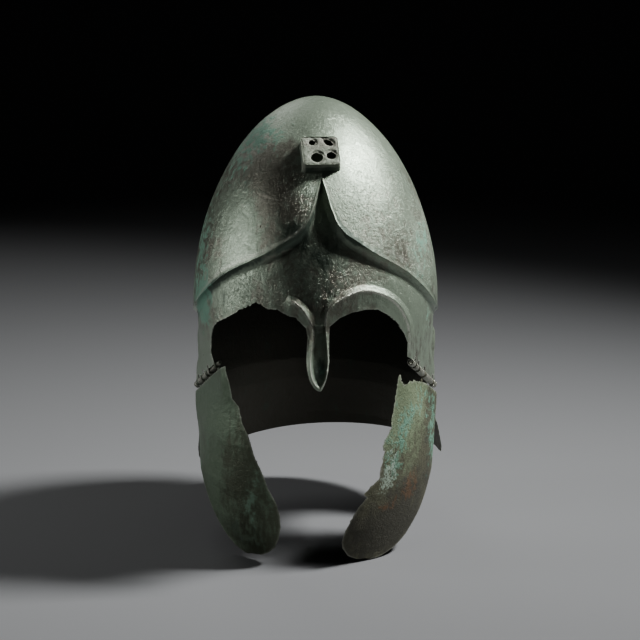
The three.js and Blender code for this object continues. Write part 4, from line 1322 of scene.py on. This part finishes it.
@dataclass
class Cheekpiece:
    """One hinged cheekpiece, with its broken edges and what is left of its hinge knuckles."""

    side: Side
    tables: CheekTables
    form: SkullForm
    columns: int = 100
    rows: int = 150
    thickness: float = 1.5
    rear_y: float = -9.0
    shell_top: float = 162.0
    shell_bottom: float = -8.0
    first_turn: float = 6.0
    last_turn: float = 88.0
    top_gap: float = 7.0
    flat_fade: float = 35.0
    end_fade: float = 18.0
    tip_overhang: float = 10.0
    slit_half: float = 0.5
    slit_length: float = 4.6
    slit_bottom: float = 100.0
    slit_slant: float = 1.2
    knuckle_width: float = 4.0
    knuckle_root: float = 3.0
    knuckle_foot: float = 0.4
    knuckle_wrap: float = 345.0
    knuckle_sway: float = 0.3
    knuckle_sway_turn: float = 7.0
    knuckle_columns: int = 6
    knuckle_rows: int = 46
    knuckle_waves: tuple[Wave, ...] = waves((0.12, 1.6, 0))
    edge_radius: float = 0.4
    knuckle_radius: float = 0.2
    edge_band: float = 5.0
    corner: float = 7.0
    corner_top: float = 50.0
    corner_fade: float = 10.0
    break_reach: float = 4.0
    front_break: tuple[Knot, ...] = knots((28, 12), (150, 10))
    rim_break: Knot = Knot(118, 8)
    wear_amount: float = 0.3
    wear_band: float = 1.6
    read_reach: float = 30.0
    margin: float = 40.0
    rough_margin: float = 4.0
    finer_band: float = 3.0
    finest_band: float = 1.6
    finest_height: float = 120.0
    centre: tuple[float, float, float] = (0.0, 0.0, -0.25)
    hammering: tuple[Wave, ...] = waves((0.35, 30, 4), (0.12, 9, 2), (0.08, 2.6, 6))
    jags: tuple[Wave, ...] = waves((1, 3.4, 3), (0.6, 1.4, 5))
    edge_waves: tuple[Wave, ...] = waves((0.12, 2, 8))
    front_reach: tuple[Knot, ...] = knots(
        (-0.06, 0.85), (0.05, 0.88), (0.18, 0.92), (0.36, 0.95), (0.6, 0.965), (1.06, 0.965)
    )
    rear: tuple[Reach, ...] = reaches(
        (0.76, -0.008), (0.68, 0), (0.6, 0.03), (0.53, 0.075), (0.456, 0.135), (0.368, 0.21), (0.304, 0.268),
        (0.232, 0.345), (0.165, 0.47), (0.125, 0.58), (0.085, 0.7),
    )

    def __post_init__(self) -> None:
        """Works out the outlines seen from the front and from the side."""
        wide, hinge = self.form.half_width, self.form.hinge
        tall = hinge.front_height
        front = [(row.reach * wide, row.height * tall) for row in self.tables.front]
        last = front[-1]
        foot, top = -self.margin, tall + self.margin
        front += [(last[0] + self.tip_overhang, foot), (wide + self.margin, foot)]
        front += [(wide + self.margin, top), (front[0][0], top)]
        self.front = Outline(front)
        side = [(-row.reach * self.form.front_reach, row.height * tall) for row in self.rear]
        span = hinge.rear_y - hinge.front_y
        for row in reversed(self.tables.top):
            y = min(hinge.front_y + row.at * span, self.rear_y)
            side.append((y, hinge.height_at(y) - row.value * self.top_gap * hinge.steepness))
        far = -self.form.front_reach - self.margin
        side += [(far, top), (far, foot), (side[0][0], foot)]
        self.outline = Outline(side)

    def place(self, u: float, v: float) -> Vector:
        """Bends a point of the flat sheet onto the cheekpiece.

        Args:
            u: share from the front edge back.
            v: share down from the top.

        Returns:
            The point in millimetres.
        """
        hinge = self.form.hinge
        height = lerp(self.shell_top, self.shell_bottom, v)
        angle = math.radians(lerp(self.first_turn, self.last_turn, u))
        share = height / hinge.front_height
        plain = Vector((FAR * self.side.value * u, FAR * u, height))
        raised = ripple(plain, self.hammering)
        half = self.form.half_width * look_up(self.tables.half_width, share) + raised
        reach = self.form.front_reach * look_up(self.front_reach, share) + raised
        x, y = half * math.sin(angle), self.form.centre_y - reach * math.cos(angle)
        below = hinge.height_at(y) - height
        by_height = smooth(1.0 - (below - self.form.flat_height) / self.flat_fade)
        before, behind = (hinge.front_y - y) / self.end_fade, (y - hinge.rear_y) / self.end_fade
        target = hinge.x_at(y) + self.thickness / 2 + raised
        x = lerp(x, target, by_height * smooth(1.0 - max(0.0, before, behind)))
        return Vector((self.side.value * x, y, height))

    def edges(self, point: Vector) -> Pair:
        """Signed distances from the outlines seen from the front and from the side."""
        across = self.side.value * point.x
        front = self.front.distance(across, point.z, self.read_reach)
        return front, self.outline.distance(point.y, point.z, self.read_reach)

    def edge_gap(self, point: Vector) -> float:
        """Signed distance inside the cheekpiece's edges, with broken ones worn ragged."""
        front, rim = self.edges(point)
        round_off = max(0.0, self.corner - abs(front - rim)) * smooth((self.corner_top - point.z) / self.corner_fade)
        gap = -max(front, rim) - round_off * round_off / (4.0 * self.corner)
        if abs(gap) > self.edge_band:
            return gap
        low, high = self.front_break
        broken = smooth(1.0 - abs(front) / self.break_reach)
        broken *= smooth((point.z - low.at) / low.value) * smooth((high.at - point.z) / high.value)
        if self.side is Side.RIGHT:
            rise = smooth((point.z - self.rim_break.at) / self.rim_break.value)
            broken = max(broken, smooth(1.0 - abs(rim) / self.break_reach) * rise)
        return gap + self.tables.jag * broken * ripple(point, self.jags) + ripple(point, self.edge_waves)

    def slit_gap(self, point: Vector) -> float:
        """Signed distance from the slits in the broken top edge."""
        hinge = self.form.hinge
        if not self.tables.slits or point.z < self.slit_bottom:
            return FAR
        run = hinge.share(point.y)
        drop = (hinge.height_at(point.y) - point.z) / hinge.steepness
        top = look_up(self.tables.top, run) * self.top_gap
        near = min(abs(run - share) for share in self.tables.slits)
        near *= (hinge.rear_y - hinge.front_y) * self.slit_slant
        return max(near - self.slit_half, drop - top - self.slit_length)

    def wear(self, point: Vector) -> float:
        """Rubbed metal along the edges."""
        return self.wear_amount * smooth(1.0 - min(abs(gap) for gap in self.edges(point)) / self.wear_band)

    def build(self, outer: Material, inner: Material, patches: dict[str, tuple[Spot, ...]]) -> None:
        """Makes the plate and its knuckles.

        Args:
            outer: the finish of the outside and the edges.
            inner: the finish of the inside.
            patches: the soft patches of each mask, seen from the front.
        """
        word = self.side.name.lower()
        sheet = SheetMetal(self.columns, self.rows, self.place)
        sheet.lay_out()
        sheet.cut(lambda point: self.edge_gap(point) + self.rough_margin)
        sheet.refine(lambda point: abs(self.edge_gap(point)) < self.finer_band)
        sheet.refine(self.wants_finest)
        sheet.cut(self.edge_gap)
        sheet.cut(self.slit_gap)
        masks: dict[str, Callable[[Vector], float]] = {"wear": self.wear}
        for name, rows in patches.items():
            masks[name] = lambda point, rows=rows: spread(self.side.value * point.x, point.z, rows)
        sheet.bend(masks)
        sheet.face_out(Vector(self.centre))
        plate = sheet.finish(f"cheek_plate_{word}", self.thickness, self.edge_radius, (outer, inner))
        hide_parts(f"cheekpiece_{word}")
        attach(plate, f"cheek_{word}")
        self.build_knuckles(outer)

    def wants_finest(self, point: Vector) -> bool:
        """Whether the sheet needs its finest grid: at all edges at the right, at the top ones at the left."""
        ragged = self.side is Side.RIGHT or point.z > self.finest_height
        return ragged and abs(self.edge_gap(point)) < self.finest_band

    def strip_point(self, share: float, u: float, v: float) -> Vector:
        """A point of a knuckle's strip, which runs up from the plate to the pin and round it.

        Args:
            share: the knuckle's place along the hinge.
            u: share across the strip.
            v: share along the strip.

        Returns:
            The point in millimetres.
        """
        hinge = self.form.hinge
        middle = hinge.bore + hinge.wall / 2
        run = share * hinge.axes(self.side)[4] + (u - 0.5) * self.knuckle_width
        lump = ripple(Vector((run, v * 9.0, share * 30.0)), self.knuckle_waves)
        foot = self.knuckle_foot
        if v < foot:
            reach = self.top_gap * look_up(self.tables.top, share) + self.knuckle_root
            sway = self.knuckle_sway * math.sin(v * self.knuckle_sway_turn) * (foot - v)
            return hinge.at(self.side, run, sway + lump, lerp(-reach, -middle, v / foot))
        turn = math.radians(-90.0 + self.knuckle_wrap * (v - foot) / (1.0 - foot))
        return hinge.at(self.side, run, (middle + lump) * math.cos(turn), (middle + lump) * math.sin(turn))

    def build_knuckles(self, finish: Material) -> None:
        """Makes the strips that run up from the plate and round the pin.

        Args:
            finish: the finish of the strips.
        """
        joined = bmesh.new()
        for share in self.tables.knuckles:
            strip = SheetMetal(self.knuckle_columns, self.knuckle_rows, partial(self.strip_point, share))
            strip.lay_out()
            strip.bend({})
            copy = bpy.data.meshes.new("strip")
            strip.mesh.to_mesh(copy)
            strip.mesh.free()
            joined.from_mesh(copy)
            bpy.data.meshes.remove(copy)
        word = self.side.name.lower()
        strips = SheetMetal(1, 1, self.place, mesh=joined)
        piece = strips.finish(f"hinge_knuckles_{word}", self.form.hinge.wall, self.knuckle_radius, (finish,))
        piece.modifiers["wall"].offset = 0.0
        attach(piece, f"cheek_{word}")


@dataclass
class RolledEdge:
    """The lower edge of a temple plate, rolled round the pin, with gaps for the knuckles."""

    side: Side
    form: SkullForm
    shares: tuple[float, ...]
    start: float
    gap_half: float = 2.35
    columns: int = 28
    rows: int = 110
    edge_radius: float = 0.2
    wear_level: float = 0.35
    middle_run: float = 33.0
    lumps: tuple[Wave, ...] = waves((0.16, 2.2, 4))
    wear_waves: tuple[Wave, ...] = waves((0.3, 3, 1))

    def place(self, u: float, v: float) -> Vector:
        """Rolls the flat sheet round the pin, a little uneven."""
        hinge = self.form.hinge
        length = hinge.axes(self.side)[4]
        run = lerp(self.start * length, length, v)
        turn = math.radians(360.0 * u)
        lump = ripple(Vector((run, math.cos(turn) * 2, math.sin(turn) * 2)), self.lumps)
        radius = hinge.bore + hinge.wall + lump
        return hinge.at(self.side, run, radius * math.cos(turn), radius * math.sin(turn))

    def gap(self, point: Vector) -> float:
        """Signed distance from the gaps where the knuckles sit."""
        front, along, _, _, length = self.form.hinge.axes(self.side)
        run = (point - front).dot(along)
        return min(abs(run - share * length) for share in self.shares) - self.gap_half

    def build(self, finish: Material) -> None:
        """Makes the rolled edge.

        Args:
            finish: its bronze.
        """
        sheet = SheetMetal(self.columns, self.rows, self.place)
        sheet.lay_out()
        sheet.cut(self.gap)
        sheet.bend({"wear": lambda point: self.wear_level + ripple(point, self.wear_waves)})
        centre = in_part(self.form.hinge.at(self.side, self.middle_run, 0.0, 0.0))
        axis = self.form.hinge.axes(self.side)[1]
        total = 0.0
        for face in sheet.mesh.faces:
            face.normal_update()
            offset = face.calc_center_median() - centre
            total += (offset - axis * offset.dot(axis)).dot(face.normal)
        if total < 0.0:
            bmesh.ops.reverse_faces(sheet.mesh, faces=sheet.mesh.faces[:])
        word = self.side.name.lower()
        piece = sheet.finish(f"rolled_edge_{word}", self.form.hinge.wall, self.edge_radius, (finish,))
        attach(piece, "helmet")


class Hole(NamedTuple):
    """A worn hole in the crest holder's face, as shares of the face, and its turn in degrees."""

    across: float
    up: float
    half_wide: float
    half_tall: float
    turn: float


@dataclass
class CrestHolder:
    """The small hollow box with four worn holes that stands on the front of the dome."""

    form: SkullForm
    width: float = 28.0
    height: float = 27.5
    proud: float = 5.5
    wall: float = 1.6
    x: float = 3.6
    y: float = -68.5
    centre_height: float = 314.4
    elevation: float = 49.0
    turn: float = 7.0
    corner: float = 3.0
    grid: int = 96
    edge_radius: float = 0.35
    search_depth: float = 14.0
    search_steps: int = 24
    face_share: float = 0.72
    foot_sink: float = 0.5
    foot_flare: float = 0.05
    rim_drop: float = 0.7
    rim_width: float = 2.0
    hole_drop: float = 1.3
    hole_width: float = 2.4
    hole_depth: float = 2.5
    wear_amount: float = 0.3
    wear_band: float = 1.2
    grime_amount: float = 0.5
    grime_band: float = 2.5
    inside_depth: float = 4.0
    swell: tuple[Wave, ...] = waves((0.25, 6, 2))
    grit: tuple[Wave, ...] = waves((0.22, 2, 5))
    hole_waves: tuple[Wave, ...] = waves((0.25, 2, 3))
    holes: tuple[Hole, ...] = (
        Hole(-0.2, 0.32, 0.09, 0.1, 0.0), Hole(0.24, 0.31, 0.15, 0.09, -42.0), Hole(-0.11, -0.22, 0.165, 0.17, 0.0),
        Hole(0.28, -0.16, 0.13, 0.135, 0.0),
    )

    def axes(self) -> tuple[Vector, Vector, Vector, Vector]:
        """Centre, across, up and out of the holder."""
        rise = math.radians(self.elevation)
        out = Vector((0.0, -math.cos(rise), math.sin(rise)))
        out.rotate(Matrix.Rotation(math.radians(self.turn), 3, "Z"))
        across = Vector((0, 0, 1)).cross(out).normalized()
        return Vector((self.x, self.y, self.centre_height)), across, out.cross(across).normalized(), out

    def drop(self, a: float, b: float) -> float:
        """Depth from the holder's centre plane down to the dome under a place of its face."""
        centre, across, up, out = self.axes()
        low, high = -self.search_depth, self.proud
        for _ in range(self.search_steps):
            middle = (low + high) / 2
            point = centre + across * a + up * b + out * middle
            climb = clamp((point.z - self.form.widest_height) / self.form.rise, 0.0, 1.0)
            share = (1.0 - climb**self.form.fullness) ** (1.0 / self.form.fullness)
            wide, deep = self.form.half_width * share, self.form.front_reach * share
            inside = (point.x / max(wide, 1e-6)) ** 2 + ((point.y - self.form.centre_y) / max(deep, 1e-6)) ** 2 < 1.0
            low, high = (middle, high) if inside else (low, middle)
        return low

    def place(self, u: float, v: float) -> Vector:
        """Bends the flat sheet over the face, round its edge and down to the dome.

        Args:
            u: share across.
            v: share up.

        Returns:
            The point in millimetres.
        """
        centre, across, up, out = self.axes()
        a, b = 2.0 * u - 1.0, 2.0 * v - 1.0
        ring = max(abs(a), abs(b))
        scale = min(1.0, ring / self.face_share) / ring if ring > 1e-6 else 0.0
        half_a, half_b = self.width / 2, self.height / 2
        at_a, at_b = a * scale * half_a, b * scale * half_b
        over = math.hypot(max(0.0, abs(at_a) - half_a + self.corner), max(0.0, abs(at_b) - half_b + self.corner))
        if over > self.corner:
            pull = self.corner / over
            if abs(at_a) > half_a - self.corner:
                at_a = math.copysign(half_a - self.corner + (abs(at_a) - half_a + self.corner) * pull, at_a)
            if abs(at_b) > half_b - self.corner:
                at_b = math.copysign(half_b - self.corner + (abs(at_b) - half_b + self.corner) * pull, at_b)
        level = self.proud + ripple(Vector((at_a, at_b, 0.0)), self.swell)
        if ring > self.face_share:
            fall = (ring - self.face_share) / (1.0 - self.face_share)
            level = lerp(level, self.drop(at_a, at_b) - self.foot_sink, fall)
            flare = 1.0 + self.foot_flare * fall
            at_a, at_b = at_a * flare, at_b * flare
        else:
            edge = min(half_a - abs(at_a), half_b - abs(at_b))
            level -= self.rim_drop * smooth(1.0 - edge / self.rim_width)
            for hole in self.holes:
                level -= self.hole_drop * smooth(1.0 - self.hole_gap(at_a, at_b, hole) / self.hole_width)
            level += ripple(Vector((at_a, at_b, 4.0)), self.grit)
        return centre + across * at_a + up * at_b + out * level

    def rise_at(self, point: Vector) -> float:
        """Height of a place over the plane where the holder's sides meet its rounded edge."""
        centre, _, _, out = self.axes()
        return (point - centre).dot(out) - self.proud + self.corner

    def hole_gap(self, a: float, b: float, hole: Hole) -> float:
        """Signed distance of a place of the face from a hole."""
        turn = math.radians(-hole.turn)
        da, db = a - hole.across * self.width, b - hole.up * self.height
        ra, rb = da * math.cos(turn) - db * math.sin(turn), da * math.sin(turn) + db * math.cos(turn)
        half_a, half_b = hole.half_wide * self.width, hole.half_tall * self.height
        span = math.hypot(ra / half_a, rb / half_b)
        return (span - 1.0) * min(half_a, half_b)

    def gap(self, point: Vector) -> float:
        """Signed distance from the nearest hole, ragged."""
        centre, across, up, out = self.axes()
        offset = point - centre
        if offset.dot(out) < self.proud - self.hole_depth:
            return FAR
        a, b = offset.dot(across), offset.dot(up)
        return min(self.hole_gap(a, b, hole) for hole in self.holes) + ripple(Vector((a, b, 0.0)), self.hole_waves)

    def wear(self, point: Vector) -> float:
        """Rubbed metal round the holes."""
        gap = self.gap(point)
        return self.wear_amount * smooth(1.0 - gap / self.wear_band) if gap < FAR else 0.0

    def grime(self, point: Vector) -> float:
        """Darkening at the foot, where the holder meets the dome."""
        return self.grime_amount * smooth((1.0 - self.rise_at(point)) / self.grime_band)

    def build(self, finish: Material) -> None:
        """Makes the crest holder.

        Args:
            finish: its bronze.
        """
        sheet = SheetMetal(self.grid, self.grid, self.place)
        sheet.lay_out()
        sheet.cut(self.gap)
        sheet.bend({"wear": self.wear, "grime": self.grime})
        centre, _, _, out = self.axes()
        sheet.face_out(in_part(centre - out * self.inside_depth))
        piece = sheet.finish("crest_box", self.wall, self.edge_radius, (finish,))
        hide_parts("crest_holder")
        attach(piece, "helmet")


class Lamp(NamedTuple):
    """A soft square light: where it stands, its edge in metres and its power in watts."""

    name: str
    place: tuple[float, float, float]
    size: float
    watts: float


@dataclass
class Studio:
    """The floor, the soft lights and the camera."""

    floor_height: float = -0.3508
    floor_size: float = 60.0
    floor_y: float = 1.0
    eye: tuple[float, float, float] = (0.0036, -1.4616, 0.1585)
    tilt: float = 77.0
    lens: float = 104.175
    sensor: float = 36.0
    light_spread: float = 70.0
    aim: tuple[float, float, float] = (0.0, 0.0, -0.12)
    sky: tuple[float, float, float, float] = (0.78, 0.80, 0.82, 1.0)
    sky_strength: float = 0.006
    lamps: tuple[Lamp, ...] = (
        Lamp("key", (1.1, 0.14, 1.12), 0.3, 10.0),
        Lamp("right_fill", (1.5, -0.9, 0.1), 0.7, 0.05),
        Lamp("left_fill", (-1.5, 0.02, 0.1), 0.35, 1.1),
        Lamp("back_fill", (-0.8, 1.7, 1.0), 1.0, 0.9),
    )

    def build_floor(self) -> None:
        """Lays a large flat pale floor."""
        mesh = bmesh.new()
        bmesh.ops.create_grid(mesh, x_segments=1, y_segments=1, size=self.floor_size / 2)
        bmesh.ops.translate(mesh, verts=mesh.verts[:], vec=(0.0, self.floor_y, self.floor_height))
        new_object("floor", mesh, (PlainFinish().make(),))

    def add_light(self, lamp: Lamp) -> None:
        """Adds a light that looks at the helmet."""
        data = bpy.data.lights.new(lamp.name, "AREA")
        data.size = lamp.size
        data.energy = lamp.watts
        data.spread = math.radians(self.light_spread)
        light = bpy.data.objects.new(lamp.name, data)
        light.location = lamp.place
        light.rotation_euler = (Vector(self.aim) - Vector(lamp.place)).to_track_quat("-Z", "Y").to_euler()
        bpy.context.collection.objects.link(light)

    def build(self) -> None:
        """Sets up the studio."""
        self.build_floor()
        for lamp in self.lamps:
            self.add_light(lamp)
        world = bpy.data.worlds.new("studio")
        world.use_nodes = True
        world.node_tree.nodes["Background"].inputs["Color"].default_value = self.sky
        world.node_tree.nodes["Background"].inputs["Strength"].default_value = self.sky_strength
        bpy.context.scene.world = world
        camera_data = bpy.data.cameras.new("camera")
        camera_data.lens = self.lens
        camera_data.sensor_width = self.sensor
        camera = bpy.data.objects.new("camera", camera_data)
        camera.location = self.eye
        camera.rotation_euler = (math.radians(self.tilt), 0.0, 0.0)
        bpy.context.collection.objects.link(camera)
        bpy.context.scene.camera = camera


@dataclass
class Helmet:
    """The whole helmet and its finishes."""

    form: SkullForm = SkullForm()

    # The dark patches of both plates lie mostly low and make them darker towards the bottom.
    RIGHT_PATCHES = {
        "grime": spots((50, 20, 40, 24, 0.75), (90, 100, 9, 40, 0.35), (74, 50, 24, 22, 0.4)),
        "patina": spots((76, 128, 26, 24, 0.5), (62, 110, 14, 30, 0.4)),
        "crust": spots((60, 80, 10, 24, 0.46), (52, 60, 10, 16, 0.42), (72, 112, 18, 20, 0.36)),
        "verdigris": spots((62, 84, 14, 32, 0.5), (94, 80, 7, 46, 0.5), (76, 118, 18, 20, 0.4)),
        "rust": spots((58, 44, 20, 13, 0.6), (80, 60, 13, 16, 0.46), (42, 20, 26, 14, 0.4)),
        "pits": spots((62, 90, 22, 36, 0.8)),
    }
    LEFT_PATCHES = {
        "grime": spots((60, 60, 40, 60, 0.2), (60, 15, 30, 20, 0.3)),
        "patina": spots((78, 120, 20, 20, 0.4), (84, 60, 14, 40, 0.2)),
        "crust": spots((86, 110, 10, 20, 0.16), (76, 84, 12, 16, 0.14)),
        "verdigris": spots((50, 50, 12, 50, 0.4), (76, 90, 14, 30, 0.3), (92, 60, 8, 40, 0.3)),
        "rust": spots((70, 40, 20, 20, 0.14)),
        "pits": spots((80, 60, 20, 50, 0.3)),
    }
    LEFT_ROLL_START = 0.37

    def build(self, frame: dict) -> None:
        """Builds and dresses every piece.

        Args:
            frame: the loaded CAD frame.
        """
        group = PatinaGroup()
        dome = BronzeFinish("dome_patina").make(group)
        inside = BronzeFinish(
            "inner_bronze", bronze=(0.1, 0.096, 0.078), patina=(0.085, 0.098, 0.075), patina_cover=0.5,
            film_cover=0.4, gloss=0.1,
        ).make(group)
        right = BronzeFinish(
            "right_cheek_patina", bronze=(0.115, 0.115, 0.076), patina=(0.195, 0.245, 0.145), patina_cover=0.45,
            film_cover=0.32, pitting=0.5, gloss=0.5, rust=(0.15, 0.092, 0.052), film=(0.07, 0.068, 0.052),
        ).make(group)
        left = BronzeFinish(
            "left_cheek_patina", bronze=(0.085, 0.098, 0.066), patina=(0.13, 0.18, 0.12), patina_cover=0.6,
            film_cover=0.15, verdigris=(0.12, 0.21, 0.145), gloss=0.65,
        ).make(group)
        worn = BronzeFinish(
            "hinge_patina", pitting=0.4, patina=(0.24, 0.28, 0.215), patina_cover=0.5, film_cover=0.3,
            crust_cover=0.1, depth=0.0009,
        ).make(group)
        holder = BronzeFinish(
            "holder_patina", bronze=(0.2, 0.2, 0.165), patina=(0.25, 0.285, 0.225), patina_cover=0.7, film_cover=0.25,
            pitting=0.9, gloss=0.5, depth=0.001,
        ).make(group)
        skull = Skull(self.form)
        skull.build(dome, inside)
        LOG.info("skull built")
        RolledEdge(Side.RIGHT, self.form, skull.right_slots, 0.0).build(worn)
        RolledEdge(Side.LEFT, self.form, skull.left_slots, self.LEFT_ROLL_START).build(worn)
        LOG.info("rolled edges built")
        CrestHolder(self.form).build(holder)
        LOG.info("crest holder built")
        Cheekpiece(Side.RIGHT, RIGHT_CHEEK, self.form).build(right, inside, self.RIGHT_PATCHES)
        Cheekpiece(Side.LEFT, LEFT_CHEEK, self.form).build(left, inside, self.LEFT_PATCHES)
        LOG.info("cheekpieces built")
        for name in ("hinge_pin_right", "hinge_pin_left"):
            for slot in frame["nodes"][name].material_slots:
                slot.material = worn
        LOG.info("pins dressed")


def main() -> None:
    """Builds the studio and the helmet."""
    logging.basicConfig(level=logging.INFO)
    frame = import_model()
    Studio().build()
    Helmet().build(frame)


if __name__ == "__main__":
    main()
